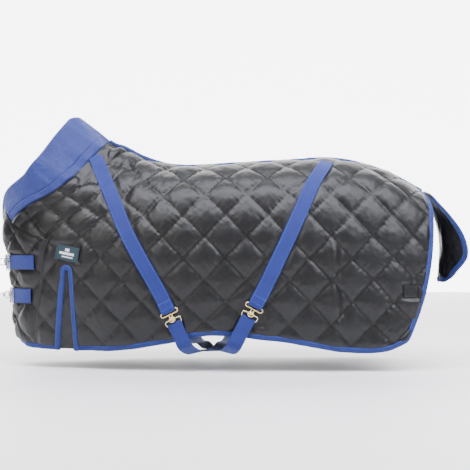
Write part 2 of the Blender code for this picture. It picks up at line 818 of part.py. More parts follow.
def leg_strap_point(side, shell_tree, lining_tree):
    """Stitched patch outside the rear quarter, and the tab and ring for a leg strap inside it."""
    u, v = find_on_rug(*leg_patch_place, (8.4, 5.0))
    spot, face, _, _ = shell_tree.find_nearest(mirrored(surface(u, v), side))
    out = mirrored(outward(u, v), side)
    if face.dot(out) < 0:
        face = -face
    up = (Vector((0, 0, 1)) - face * face.z).normalized()
    right = up.cross(face).normalized()
    thick = 0.0020
    _, seat, _ = seated_plate(f"{side}_leg_patch", shell_tree, spot, right, up, leg_patch_length,
                              leg_patch_height, thick, shell_nylon())
    inner, inward, _, _ = lining_tree.find_nearest(spot - face * 0.05)
    if inward.dot(face) > 0:
        inward = -inward
    up = (Vector((0, 0, 1)) - inward * inward.z).normalized()
    right = up.cross(inward).normalized()
    tab_high = 0.040
    _, seat, _ = seated_plate(f"{side}_leg_tab", lining_tree, inner, right, up, 0.028, tab_high,
                              thick, blue_webbing())
    bar = seat + inward * 0.002 - up * (tab_high * 0.5 + 0.0026)
    hang = (inward * 0.35 - up).normalized()
    d_ring(f"{side}_leg_ring", bar, right, hang, leg_ring_width, 0.024, nickel(), 0.0021)


def shoulder_label(tree):
    """Woven label over the top of the near shoulder pleat."""
    u, v = find_on_rug(*label_place, (2.4, 4.3))
    spot, face, _, _ = tree.find_nearest(surface(u, v))
    if face.dot(outward(u, v)) < 0:
        face = -face
    tilt = math.radians(-11)
    up = (Vector((0, 0, 1)) - face * face.z).normalized()
    right = up.cross(face).normalized()
    turned_right = right * math.cos(tilt) + up * math.sin(tilt)
    turned_up = up * math.cos(tilt) - right * math.sin(tilt)
    seated_plate("shoulder_label", tree, spot, turned_right, turned_up, label_length, label_height,
                 0.0012, label_cloth())


def main():
    clear_scene()
    rug_panels()
    shoulder_gussets()
    edge_bindings()
    neck_collar()
    tail_flap()
    sides = ("left", "right")
    shells = {side: mesh_tree(f"{side}_shell") for side in sides}
    linings = {side: mesh_tree(f"{side}_lining") for side in sides}
    ends = {}
    for side in sides:
        for which in ("front", "rear"):
            ends[side, which] = surcingle(which, side, shells[side])
    bars = {}
    for which in ("front", "rear"):
        bar, along, across, normal = ends["left", which]
        top = hook(which, bar, along, across, normal)
        bars[which] = belly_ring(f"{which}_belly_ring", top, along, across, normal)
    other = {"front": "rear", "rear": "front"}
    for which in ("front", "rear"):
        near = ends["left", which]
        far = ends["right", other[which]]
        belly_strap(which, bars[which], near[1:], far[0], far[1:],
                    belly_drop + (belly_crossing if which == "front" else -belly_crossing))
        adjuster(which, *far)
    for side in sides:
        for level, (height_up, back_x) in chest_levels.items():
            end, middle_frame = chest_strap(level, height_up, back_x, side)
            chest_slider(level, side, middle_frame)
            chest_fittings(level, side, end)
        leg_strap_point(side, shells[side], linings[side])
    shoulder_label(mesh_tree("left_shell", "left_gusset_binding"))


main()
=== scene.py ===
import math
import bpy
import bmesh
import numpy as np
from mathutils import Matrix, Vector


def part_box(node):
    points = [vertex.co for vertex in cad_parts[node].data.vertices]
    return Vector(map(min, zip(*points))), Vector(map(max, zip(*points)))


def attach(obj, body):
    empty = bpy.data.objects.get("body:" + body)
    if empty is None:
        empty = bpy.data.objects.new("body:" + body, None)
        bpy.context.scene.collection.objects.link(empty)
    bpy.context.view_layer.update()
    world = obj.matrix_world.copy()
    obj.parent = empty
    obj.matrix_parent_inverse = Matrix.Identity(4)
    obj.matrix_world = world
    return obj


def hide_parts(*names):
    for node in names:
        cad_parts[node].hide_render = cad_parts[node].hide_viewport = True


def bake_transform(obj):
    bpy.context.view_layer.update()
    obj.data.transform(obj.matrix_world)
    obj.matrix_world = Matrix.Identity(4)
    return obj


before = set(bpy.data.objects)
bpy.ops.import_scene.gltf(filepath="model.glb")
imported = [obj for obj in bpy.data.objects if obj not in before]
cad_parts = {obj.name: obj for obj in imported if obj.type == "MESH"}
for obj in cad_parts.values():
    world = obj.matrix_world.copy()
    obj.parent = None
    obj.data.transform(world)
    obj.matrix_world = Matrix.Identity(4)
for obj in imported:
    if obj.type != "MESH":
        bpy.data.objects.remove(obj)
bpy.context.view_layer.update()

# camera first: level, on the horse's left, about four metres out
cameraSettings = {"x": 0.450, "z": -0.338, "distance": 4.0, "lens": 85.1, "sensor": 36.0}


def addCamera(s):
    data = bpy.data.cameras.new("camera")
    data.lens = s["lens"]
    data.sensor_width = s["sensor"]
    data.clip_end = 60.0
    camera = bpy.data.objects.new("camera", data)
    camera.location = (s["x"], -s["distance"], s["z"])
    camera.rotation_euler = (math.radians(90), 0, 0)
    bpy.context.collection.objects.link(camera)
    bpy.context.scene.camera = camera


addCamera(cameraSettings)

# the rug's drawn surface, the same as the panels are cut to (mm: along, spread, up)
drawnRows = (
    ((-130, 0, 101), (0, 0, 0), (58, 0, -25), (137, 0, -63), (252, 0, -90),
     (450, 0, -82), (630, 0, -72), (810, 0, -65), (980, 0, -106), (1120, 0, -178)),
    ((-145, 45, 71), (-26, 55, -33), (36, 65, -62), (122, 80, -95), (250, 100, -113),
     (450, 105, -103), (625, 105, -93), (800, 105, -89), (973, 100, -127), (1127, 85, -202)),
    ((-212, 90, -21), (-92, 115, -111), (-20, 135, -147), (97, 160, -172), (244, 190, -180),
     (450, 200, -170), (624, 200, -164), (803, 195, -163), (984, 175, -187), (1136, 150, -245)),
    ((-287, 100, -117), (-163, 150, -175), (-70, 175, -228), (64, 205, -270), (237, 240, -277),
     (450, 250, -274), (630, 250, -274), (812, 240, -277), (992, 215, -294), (1132, 190, -330)),
    ((-385, 10, -223), (-336, 85, -292), (-195, 170, -355), (19, 225, -382), (224, 260, -392),
     (450, 270, -395), (630, 270, -398), (817, 260, -402), (996, 235, -416), (1122, 210, -430)),
    ((-343, 10, -518), (-333, 60, -521), (-226, 150, -529), (0, 225, -538), (215, 262, -536),
     (450, 275, -538), (630, 275, -543), (816, 265, -546), (994, 245, -552), (1097, 230, -545)),
    ((-338, 10, -640), (-328, 55, -650), (-243, 130, -661), (4, 213, -645), (204, 253, -631),
     (410, 270, -612), (620, 273, -630), (820, 265, -647), (983, 250, -652), (1062, 240, -645)),
    ((-330, 10, -700), (-300, 60, -722), (-242, 105, -735), (15, 200, -735), (196, 240, -711),
     (370, 265, -677), (611, 270, -699), (820, 265, -733), (956, 255, -731), (1035, 250, -700)),
)
net = np.array(drawnRows, float) * 0.001
lastRow, lastColumn = net.shape[0] - 1, net.shape[1] - 1
padded = np.concatenate([2 * net[:1] - net[1:2], net, 2 * net[-1:] - net[-2:-1]], 0)
padded = np.concatenate([2 * padded[:, :1] - padded[:, 1:2], padded, 2 * padded[:, -1:] - padded[:, -2:-1]], 1)


def cubicParts(t, last):
    k = np.clip(np.floor(t).astype(int), 0, last - 1)
    f = t - k
    weights = (((-0.5 * f + 1.0) * f - 0.5) * f, (1.5 * f - 2.5) * f * f + 1.0,
               ((-1.5 * f + 2.0) * f + 0.5) * f, (0.5 * f - 0.5) * f * f)
    return k, weights


def rugPoint(u, v):
    u, v = np.broadcast_arrays(np.asarray(u, float), np.asarray(v, float))
    ku, wu = cubicParts(u, lastColumn)
    kv, wv = cubicParts(np.abs(v), lastRow)
    out = np.zeros(u.shape + (3,))
    for a in range(4):
        for b in range(4):
            out += (wv[a] * wu[b])[..., None] * padded[kv + a, ku + b]
    side = np.where(v < 0, 1.0, -1.0)
    out[..., 1] = side * np.maximum(out[..., 1], 0.0)
    return out


def unit(a):
    return a / np.maximum(np.linalg.norm(a, axis=-1, keepdims=True), 1e-9)


def rugNormal(u, v):
    u, v = np.broadcast_arrays(np.asarray(u, float), np.asarray(v, float))
    near = np.abs(v)
    step = 0.02
    along = rugPoint(np.minimum(u + step, lastColumn), near) - rugPoint(np.maximum(u - step, 0), near)
    down = rugPoint(u, np.minimum(near + step, lastRow)) - rugPoint(u, np.maximum(near - step, 0))
    n = unit(np.cross(down, along))
    n[..., 1] = np.where(near < 1e-6, 0.0, n[..., 1])
    n = unit(n)
    n[..., 1] = np.where(v < 0, -n[..., 1], n[..., 1])
    return n


# cloth coordinates in metres: a along the rug, b down it, measured over the curved surface
tableU = np.linspace(0, lastColumn, 136)
tableV = np.linspace(0, lastRow, 141)
tablePoints = rugPoint(tableU[:, None], tableV[None, :])
downRun = np.concatenate([np.zeros((136, 1)), np.cumsum(
    np.linalg.norm(np.diff(tablePoints, axis=1), axis=-1), 1)], 1)
tableB = downRun - downRun[:, 80:81] - tablePoints[:, 80:81, 2]
acrossRun = np.concatenate([np.zeros((1, 141)), np.cumsum(
    np.linalg.norm(np.diff(tablePoints, axis=0), axis=-1), 0)], 0)
tableA = acrossRun - acrossRun[75:76, :] + tablePoints[75:76, :, 0]


def fromTable(table, u, v):
    x = np.clip(np.asarray(u, float) / lastColumn * 135, 0, 134.999)
    y = np.clip(np.abs(v) / lastRow * 140, 0, 139.999)
    i, j = x.astype(int), y.astype(int)
    f, g = x - i, y - j
    return ((table[i, j] * (1 - f) + table[i + 1, j] * f) * (1 - g)
            + (table[i, j + 1] * (1 - f) + table[i + 1, j + 1] * f) * g)


def findOnRug(x, z, u, v):
    for _ in range(30):
        here = rugPoint(u, v)
        right = rugPoint(u + 0.01, v) - here
        below = rugPoint(u, v + 0.01) - here
        det = right[0] * below[2] - right[2] * below[0]
        dx, dz = x - here[0], z - here[2]
        u = min(max(u + 0.01 * (dx * below[2] - dz * below[0]) / det, 0.0), lastColumn)
        v = min(max(v + 0.01 * (dz * right[0] - dx * right[2]) / det, 0.0), lastRow)
    return u, v


def smooth(t):
    t = np.clip(t, 0.0, 1.0)
    return t * t * (3 - 2 * t)


def runAlong(points):
    return np.concatenate([[0], np.cumsum(np.linalg.norm(np.diff(points, axis=0), axis=1))])


def evenLine(points, step):
    points = np.array(points, float)
    ghost = np.concatenate([2 * points[:1] - points[1:2], points, 2 * points[-1:] - points[-2:-1]])
    k, w = cubicParts(np.linspace(0, len(points) - 1, 60 * len(points)), len(points) - 1)
    fine = sum(w[a][:, None] * ghost[k + a] for a in range(4))
    run = runAlong(fine)
    want = np.linspace(0, run[-1], max(2, round(run[-1] / step)) + 1)
    return np.stack([np.interp(want, run, fine[:, c]) for c in range(fine.shape[1])], 1)


# meshes
def linked(name, data):
    thing = bpy.data.objects.new(name, data)
    bpy.context.collection.objects.link(thing)
    return thing


def sheetArea(thing):
    return sum(face.area for face in thing.data.polygons) / 2


def boxMiddle(node):
    low, high = (np.array(corner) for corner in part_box(node))
    return (low + high) / 2


def makeObject(name, vertices, faces, finish, uvs=None, smoothed=True):
    mesh = bpy.data.meshes.new(name)
    mesh.from_pydata(np.asarray(vertices).tolist(), [], faces if isinstance(faces, list) else faces.tolist())
    mesh.materials.append(finish)
    if uvs is not None:
        layer = mesh.uv_layers.new(name="cloth")
        index = np.empty(len(mesh.loops), int)
        mesh.loops.foreach_get("vertex_index", index)
        layer.data.foreach_set("uv", np.asarray(uvs)[index].astype("float32").ravel())
    if smoothed:
        mesh.shade_smooth()
    return linked(name, mesh)


def turnOut(thing):
    shape = bmesh.new()
    shape.from_mesh(thing.data)
    bmesh.ops.recalc_face_normals(shape, faces=shape.faces)
    shape.to_mesh(thing.data)
    shape.free()
    return thing


def closedSheet(name, outer, inner, finish, uvs=None, flip=False, sharp=True):
    # outer and inner are (columns, rows, 3) grids of the two faces of one closed piece
    nu, nv = outer.shape[:2]
    number = np.arange(nu * nv).reshape(nu, nv)
    a, b = number[:-1, :-1].ravel(), number[:-1, 1:].ravel()
    c, d = number[1:, 1:].ravel(), number[1:, :-1].ravel()
    half = nu * nv
    faces = [np.stack([a, b, c, d], 1), np.stack([d, c, b, a], 1) + half]
    ring = np.concatenate([number[:, 0], number[-1, 1:], number[-2::-1, -1], number[0, -2:0:-1]])
    after = np.roll(ring, -1)
    faces.append(np.stack([ring, after, after + half, ring + half], 1))
    faces = np.concatenate(faces)
    if flip:
        faces = faces[:, ::-1]
    vertices = np.concatenate([outer.reshape(-1, 3), inner.reshape(-1, 3)])
    allUvs = None if uvs is None else np.concatenate([uvs.reshape(-1, 2)] * 2)
    thing = makeObject(name, vertices, faces, finish, allUvs)
    if sharp:
        thing.data.set_sharp_from_angle(angle=math.radians(50))
    return thing


def sweep(name, centres, rights, ups, profile, finish, closed=False):
    # a closed profile carried along a path; each profile point is (right, up)
    centres, rights, ups = (np.asarray(x, float) for x in (centres, rights, ups))
    profile = np.asarray(profile, float)
    n, m = len(centres), len(profile)
    vertices = (centres[:, None] + rights[:, None] * profile[None, :, :1]
                + ups[:, None] * profile[None, :, 1:]).reshape(-1, 3)
    rows = np.arange(n if closed else n - 1)
    i, j = np.meshgrid(rows, np.arange(m), indexing="ij")
    a = (i * m + j).ravel()
    b = (i * m + (j + 1) % m).ravel()
    c = ((i + 1) % n * m + (j + 1) % m).ravel()
    d = ((i + 1) % n * m + j).ravel()
    faces = np.stack([a, b, c, d], 1).tolist()
    if not closed:
        faces += [list(range(m))[::-1], [(n - 1) * m + k for k in range(m)]]
    run = runAlong(centres)
    around = runAlong(profile)
    uvs = np.stack(np.meshgrid(run, around, indexing="ij"), -1).reshape(-1, 2)
    thing = turnOut(makeObject(name, vertices, faces, finish, uvs))
    thing.data.set_sharp_from_angle(angle=math.radians(45))
    return thing


def wire(name, points, radius, finish, closed=False, sides=14):
    points = np.asarray(points, float)
    n = len(points)
    along = (np.roll(points, -1, 0) - np.roll(points, 1, 0)) if closed else np.gradient(points, axis=0)
    along = unit(along)
    up = Vector(along[0]).orthogonal().normalized()
    rights, ups = [], []
    for k in range(n):
        t = Vector(along[k])
        up = (up - t * up.dot(t)).normalized()
        ups.append(up.copy())
        rights.append(t.cross(up))
    turns = np.linspace(0, 2 * math.pi, sides, endpoint=False)
    radii = np.broadcast_to(np.asarray(radius, float), (n,))
    ring = np.stack([np.cos(turns), np.sin(turns)], 1)
    vertices = (points[:, None] + np.array(rights)[:, None] * ring[None, :, :1] * radii[:, None, None]
                + np.array(ups)[:, None] * ring[None, :, 1:] * radii[:, None, None]).reshape(-1, 3)
    m = sides
    faces = []
    for k in range(n if closed else n - 1):
        for s in range(m):
            faces.append([k * m + s, k * m + (s + 1) % m, (k + 1) % n * m + (s + 1) % m, (k + 1) % n * m + s])
    if not closed:
        faces += [list(range(m))[::-1], [(n - 1) * m + s for s in range(m)]]
    return turnOut(makeObject(name, vertices, faces, finish))


def joined(name, things):
    # one piece out of several closed bodies of the same finish
    shape = bmesh.new()
    for thing in things:
        shape.from_mesh(thing.data)
    mesh = things[0].data.copy()
    shape.to_mesh(mesh)
    shape.free()
    mesh.name = name
    for thing in things:
        bpy.data.objects.remove(thing, do_unlink=True)
    return linked(name, mesh)


def place(thing, body, slot, *replaced):
    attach(thing, body)
    if replaced:
        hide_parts(*replaced)
    return thing


# materials
def hexColor(code):
    out = []
    for k in (0, 2, 4):
        c = int(code[k:k + 2], 16) / 255
        out.append(c / 12.92 if c <= 0.04045 else ((c + 0.055) / 1.055) ** 2.4)
    return (*out, 1.0)


def addNode(tree, kind, inputs=None, output=0, **settings):
    # an input is a value, or a (node, output) pair to link
    node = tree.nodes.new(kind)
    for key, value in settings.items():
        setattr(node, key, value)
    for key, value in (inputs or {}).items():
        if isinstance(value, tuple) and isinstance(value[0], bpy.types.Node):
            tree.links.new(value[0].outputs[value[1]], node.inputs[key])
        else:
            node.inputs[key].default_value = value
    return node, output


def calc(tree, operation, *values):
    return addNode(tree, "ShaderNodeMath", dict(enumerate(values)), operation=operation)


def mixColor(tree, share, low, high):
    return addNode(tree, "ShaderNodeMix", {0: share, 6: low, 7: high}, 2, data_type="RGBA")


def noiseNode(tree, vector, scale, **more):
    inputs = {key.title(): value for key, value in more.items()}
    return addNode(tree, "ShaderNodeTexNoise", {"Vector": vector, "Scale": scale, **inputs}, "Fac")


def waveNode(tree, vector, direction, scale, distortion, **more):
    inputs = {key.replace("_", " ").title(): value for key, value in more.items()}
    inputs.update({"Vector": vector, "Scale": scale, "Distortion": distortion})
    return addNode(tree, "ShaderNodeTexWave", inputs, "Fac", wave_type="BANDS", bands_direction=direction)


def bumpNode(tree, height, strength, distance, under=None):
    inputs = {"Strength": strength, "Distance": distance, "Height": height}
    return addNode(tree, "ShaderNodeBump", {**inputs, "Normal": under} if under else inputs)


def rangeNode(tree, value, *limits, **settings):
    names = ("From Min", "From Max", "To Min", "To Max")[-len(limits):]
    return addNode(tree, "ShaderNodeMapRange", {"Value": value, **dict(zip(names, limits))}, **settings)


def newMaterial(name, shader, coordinates="cloth"):
    made = bpy.data.materials.new(name)
    made.use_nodes = True
    tree = made.node_tree
    principled = tree.nodes["Principled BSDF"]
    for key, value in shader.items():
        principled.inputs[key].default_value = value
    where = None
    if coordinates == "cloth":
        where = addNode(tree, "ShaderNodeUVMap", output="UV", uv_map="cloth")
    elif coordinates == "solid":
        where = addNode(tree, "ShaderNodeTexCoord", output="Object")

    def connect(**links):
        for socket, (node, output) in links.items():
            tree.links.new(node.outputs[output], principled.inputs[socket.replace("_", " ")])
        return made
    return tree, where, connect


# the seam colour and width set a dark band painted along each quilting line: painted shade of the valley between
# the pillows
quiltLook = {"along": 0.143, "down": 0.149, "atA": 0.346, "atB": 0.341, "threadPitch": 0.0011,
             "seamShadeWidth": 0.0070, "streaks": 9.0,
             "base": "0d0d0e", "worn": "171719", "seam": "040404"}


def quiltedNylon(name, look, seams=True):
    # plain-woven 600D polyester with a satin face: it lifts to a pale bloom where light grazes it
    tree, cloth, connect = newMaterial(name, {
        "Base Color": hexColor(look["base"]), "Roughness": 0.42, "Specular IOR Level": 0.40,
        "Sheen Weight": 0.07, "Sheen Roughness": 0.32, "Sheen Tint": hexColor("c4c7e0")})
    # thread spacing is drawn about twice as coarse as real, so that it shows
    weave, weft = (waveNode(tree, cloth, axis, 1 / look["threadPitch"] / 6.28 / 2, 0.3) for axis in "XY")
    cross = calc(tree, "MULTIPLY", weave, weft)
    crumple = noiseNode(tree, cloth, 34.0, detail=4.0, roughness=0.58, distortion=0.35)
    shade = noiseNode(tree, cloth, 5.5, detail=3.0)
    color = mixColor(tree, shade, hexColor(look["base"]), hexColor(look["worn"]))
    relief = bumpNode(tree, crumple, 0.40, 0.0024, bumpNode(tree, cross, 0.12, 0.0004))
    if seams:
        split, _ = addNode(tree, "ShaderNodeSeparateXYZ", {0: cloth})
        a, b = (calc(tree, "MULTIPLY_ADD", (split, axis), 1 / look[size], -look[at] / look[size])
                for axis, size, at in (("X", "along", "atA"), ("Y", "down", "atB")))
        p, q = calc(tree, "ADD", a, b), calc(tree, "SUBTRACT", a, b)
        for main, other in ((p, q), (q, p)):
            # each quilting line gets a dark band of painted shade, standing in for the shade in the seam's valley
            off = calc(tree, "PINGPONG", main, 0.5)
            line = rangeNode(tree, off, 0.012, look["seamShadeWidth"] / 0.103, 0.96, 0.0,
                             interpolation_type="SMOOTHSTEP")
            color = mixColor(tree, line, color, hexColor(look["seam"]))
            # puckers run away from each seam, closer together than the mesh can carry
            fine, long = calc(tree, "MULTIPLY", other, look["streaks"]), calc(tree, "MULTIPLY", main, 2.2)
            spot = addNode(tree, "ShaderNodeCombineXYZ", {"X": fine, "Y": long})
            streak = noiseNode(tree, spot, 1.0, detail=2.0, distortion=0.25)
            near = rangeNode(tree, off, 0.0, 0.40, 1.0, 0.12, interpolation_type="SMOOTHSTEP")
            relief = bumpNode(tree, calc(tree, "MULTIPLY", streak, near), 0.45, 0.0040, relief)
    return connect(Base_Color=color, Normal=relief)


def webbing(name, base, dark, rib=0.0018, rough=0.72):
    # flat woven polypropylene: ribs across the band, slightly fuzzy and matt
    tree, cloth, connect = newMaterial(name, {
        "Base Color": hexColor(base), "Roughness": rough, "Sheen Weight": 0.4, "Sheen Roughness": 0.5,
        "Sheen Tint": hexColor("9fb0e8"), "Specular IOR Level": 0.35})
    ribs = waveNode(tree, cloth, "X", 1 / rib / 6.28, 1.2, detail=2.0, detail_scale=2.0)
    cords = waveNode(tree, cloth, "Y", 1 / rib / 6.28 * 0.7, 0.8)
    both = calc(tree, "MULTIPLY", ribs, cords)
    shade = noiseNode(tree, cloth, 30.0, detail=4.0)
    amount = calc(tree, "MULTIPLY_ADD", both, 0.5, 0.0)
    color = mixColor(tree, calc(tree, "MULTIPLY_ADD", shade, 0.6, amount), hexColor(dark), hexColor(base))
    return connect(Base_Color=color, Normal=bumpNode(tree, both, 0.6, 0.0006))


labelBars = ((0.0, 0.011, 0.016, 0.010), (0.0, -0.002, 0.054, 0.0085), (0.004, -0.0135, 0.040, 0.0045))


def wovenLabel(name):
    # damask label: slate ground, with plain bars (x, y, width, height) where a name would be
    tree, cloth, connect = newMaterial(name, {"Roughness": 0.55, "Specular IOR Level": 0.4})
    split, _ = addNode(tree, "ShaderNodeSeparateXYZ", {0: cloth})
    marks = None
    for x, y, wide, high in labelBars:
        inside = []
        for axis, middle, size in (("X", x, wide), ("Y", y, high)):
            off = calc(tree, "ABSOLUTE", calc(tree, "SUBTRACT", (split, axis), middle))
            inside.append(calc(tree, "LESS_THAN", off, size / 2))
        bar = calc(tree, "MULTIPLY", *inside)
        marks = calc(tree, "MAXIMUM", marks, bar) if marks else bar
    return connect(Base_Color=mixColor(tree, marks, hexColor("1f343d"), hexColor("c9ced2")))


def platedMetal(name, base, rough):
    # plated zinc casting: bright, with a faint orange-peel and patches of rougher finish from handling
    tree, solid, connect = newMaterial(
        name, {"Base Color": hexColor(base), "Metallic": 1.0, "Roughness": rough}, "solid")
    peel, patch = noiseNode(tree, solid, 420.0, detail=3.0), noiseNode(tree, solid, 70.0, detail=4.0)
    return connect(Roughness=rangeNode(tree, patch, rough * 0.8, rough * 1.7),
                   Normal=bumpNode(tree, peel, 0.15, 0.0002))


def thread(name, base):
    # bonded nylon thread
    tree, solid, connect = newMaterial(name, {"Base Color": hexColor(base), "Roughness": 0.5}, "solid")
    return connect(Normal=bumpNode(tree, noiseNode(tree, solid, 900.0), 0.3, 0.0002))


shellNylon = quiltedNylon("quilted_charcoal_nylon", quiltLook)
plainNylon = quiltedNylon("plain_charcoal_nylon", quiltLook, seams=False)
# its seam colour is painted valley shade along the quilting lines, as on the shell
liningNylon = quiltedNylon("black_lining_nylon",
                           {**quiltLook, "base": "101114", "worn": "17181c", "seam": "08080a"})
blueWebbing = webbing("royal_blue_webbing", "1c2d82", "131f5c")
blueBinding = webbing("royal_blue_binding_tape", "20347f", "15235c", 0.0012)
collarCloth = webbing("royal_blue_collar_cloth", "222f78", "1c2866", 0.0010, 0.58)
brassPlate = platedMetal("brass_plated_zinc", "e2c98f", 0.22)
nickelPlate = platedMetal("nickel_plated_steel", "d9dade", 0.16)
paleBrass = platedMetal("pale_brass_plated_steel", "ddd2b4", 0.20)
blackPlate = platedMetal("black_nickel_plate", "2a2b2e", 0.30)
pipingCloth = webbing("dark_blue_piping", "22357a", "172350", 0.0012)
labelCloth = wovenLabel("woven_label_cloth")
blueThread = thread("blue_thread", "2f50c0")
darkThread = thread("dark_thread", "24252a")
print("camera and materials ready")


# where the cloth is cut, in the surface's own columns and rows
def columnShare(width, column, row):
    return width / np.linalg.norm(rugPoint(column + 0.5, row) - rugPoint(column - 0.5, row))


def rowShare(width, column, row):
    return width / (2 * np.linalg.norm(rugPoint(column, row) - rugPoint(column, row - 0.5)))


cut = {"binding": 0.018, "slitBinding": 0.017, "slitColumn": 2.46, "slitRow": 4.5,
       "collarColumn": 1.0, "seamColumn": 2.0, "collarRow": 4.0}
edgeRow = lastRow - rowShare(cut["binding"], 5.0, lastRow)
spineRow = rowShare(cut["binding"] * 0.8, 5.0, 0.5)
rearColumn = lastColumn - columnShare(cut["binding"], lastColumn - 0.5, 4.0)
frontColumn = columnShare(cut["binding"], 0.5, 5.0)
slitTape = columnShare(cut["slitBinding"], cut["slitColumn"], 6.0)


def slitTable(top, foot):
    # the slit's sides are straight in the side view
    rows = np.linspace(cut["slitRow"], lastRow, 40)
    columns = np.linspace(2.0, 3.0, 200)
    out = []
    for v in rows:
        points = rugPoint(columns, v)
        fall = (slitSettings["topZ"] - points[:, 2]) / (slitSettings["topZ"] - slitSettings["footZ"])
        out.append(np.interp(0.0, points[:, 0] - (top + (foot - top) * fall), columns))
    return rows, np.array(out)


slitSettings = {"topZ": -0.436, "footZ": -0.727, "front": (-0.1325, -0.160), "back": (-0.1235, -0.106)}
slitTables = {-1: slitTable(*slitSettings["front"]), 1: slitTable(*slitSettings["back"])}


def slitSide(v, sign, extra=0.0):
    rows, columns = slitTables[sign]
    return np.interp(np.abs(v), rows, columns) + sign * extra


def softNoise(x, y, seed=0):
    x, y = np.broadcast_arrays(np.asarray(x, float), np.asarray(y, float))
    i, j = np.floor(x), np.floor(y)
    f, g = smooth(x - i), smooth(y - j)

    def corner(m, n):
        h = np.sin(m * 127.1 + n * 311.7 + seed * 74.7) * 43758.5453
        return (h - np.floor(h)) * 2 - 1
    return ((corner(i, j) * (1 - f) + corner(i + 1, j) * f) * (1 - g)
            + (corner(i, j + 1) * (1 - f) + corner(i + 1, j + 1) * f) * g)


drapeSettings = {"hemWave": 0.0045, "waveLength": 0.23, "hipFold": 0.0075, "withersFold": 0.0052}


def drape(u, v):
    # slow folds that every layer of the rug shares
    s = drapeSettings
    near = np.abs(v)
    a, b = fromTable(tableA, u, near), fromTable(tableB, u, near)
    side = np.where(v < 0, 0.7, 0.0)
    low = smooth((near - 4.2) / 2.8)
    wave = s["hemWave"] * low * (np.sin(a / s["waveLength"] * 6.28 + side * 4)
                                 + 0.6 * np.sin(a / s["waveLength"] * 6.28 * 1.7 + 2 + side * 7))
    off = a - (0.795 + 0.02 * smooth((b - 0.45) / 0.3))
    fold = s["hipFold"] * (np.exp(-((off + 0.016) / 0.020) ** 2) - 0.9 * np.exp(-((off - 0.016) / 0.018) ** 2))
    fold *= smooth((b - 0.31) / 0.10) * (1 - 0.55 * smooth((b - 0.62) / 0.12))
    tug = s["withersFold"] * softNoise(a * 34 + b * 9, b * 8 - a * 4, 3) * np.exp(-((a - 0.06) / 0.16) ** 2) \
        * (1 - smooth((near - 2.0) / 2.0)) * smooth(near / 0.6)
    return (wave + fold) * smooth((np.asarray(u, float) - 2.0) / 1.2) + tug


def signedRow(v, side):
    # rows count outwards from the spine, and below nought on the right
    return v if side == "left" else -v


def clothPoint(u, v, height):
    return rugPoint(u, v) + rugNormal(u, v) * (np.asarray(height) + drape(u, v))[..., None]


# the surcingles' routes in the side view, topline to clasp
# it stands endLift off the quilt over its last freeRun
surcingleSettings = {"width": 0.050, "thick": 0.0024, "under": 0.0030, "freeRun": 0.070, "fold": 0.0042,
                     "endLift": 0.0118, "tuck": 0.0090, "gatherLift": 0.0030, "ripple": 0.0005,
                     "frontTop": (-0.050, -0.052),
                     "front": ((-0.014, -0.125), (0.032, -0.219), (0.087, -0.340), (0.189, -0.520),
                               (0.226, -0.592)),
                     "rear": ((0.768, -0.090), (0.715, -0.166), (0.663, -0.277), (0.561, -0.492),
                              (0.518, -0.574))}


def surcingleRoute(which, step=0.006):
    flat = evenLine(surcingleSettings[which], step)
    u, v = (1.0, 1.5) if which == "front" else (6.9, 0.6)
    found = []
    for x, z in flat:
        u, v = findOnRug(x, z, u, v)
        found.append((u, v))
    return np.array(found)


def frontTopRoute():
    # the front one goes on up and in under the collar
    start, top = surcingleSettings["front"][0], surcingleSettings["frontTop"]
    found = [tuple(surcingleRoute("front")[0])]
    for t in np.linspace(0, 1, 12)[1:]:
        x, z = (a + (b - a) * t for a, b in zip(start, top))
        found.append(findOnRug(x, z, *found[-1]))
    return np.array(found[:0:-1])


routes = {"front": np.concatenate([frontTopRoute(), surcingleRoute("front")]), "rear": surcingleRoute("rear")}
routePoints = {which: rugPoint(r[:, 0], r[:, 1]) for which, r in routes.items()}


def mirror(points, side):
    points = np.array(points, float)
    if side == "right":
        points[..., 1] *= -1
    return points


def clothAB(u, v):
    # the cloth is a little pulled about, most of all at the withers, so its seams wander
    near = np.abs(v)
    a, b = fromTable(tableA, u, near), fromTable(tableB, u, near)
    pulled = 0.0022 + 0.0075 * np.exp(-((a - 0.10) / 0.16) ** 2) * (1 - smooth((near - 2.2) / 1.8))
    return a + pulled * softNoise(a * 15, b * 12, 61), b + pulled * softNoise(a * 13, b * 14, 62)


pillow = {"crown": 0.0094, "valley": -0.0030, "power": 0.44, "pucker": 0.0019, "puckerReach": 0.013,
          "puckerLength": 0.0165, "crumple": 0.0008, "cell": 0.103}


# where a chest strap, the label or a patch holds the quilt flat: centre x and z, width and height
pressedSpots = ((-0.33, -0.433, 0.19, 0.052), (-0.33, -0.551, 0.16, 0.052), (-0.125, -0.400, 0.086, 0.054),
                (1.045, -0.530, 0.046, 0.041), (0.240, -0.618, 0.066, 0.058), (0.507, -0.604, 0.080, 0.074),
                (-0.045, -0.100, 0.080, 0.110))


def seamWaves(line, t, seed):
    phase = np.sin(line * 12.9898 + seed * 3.1) * 43758.5453
    phase = (phase - np.floor(phase)) * 6.283
    k = 6.283 / pillow["puckerLength"]
    return (np.sin(t * k + phase) + 0.7 * np.sin(t * k * 0.61 + phase * 2.3)
            + 0.6 * np.sin(t * k * 1.73 + phase * 3.7)) / 2.3


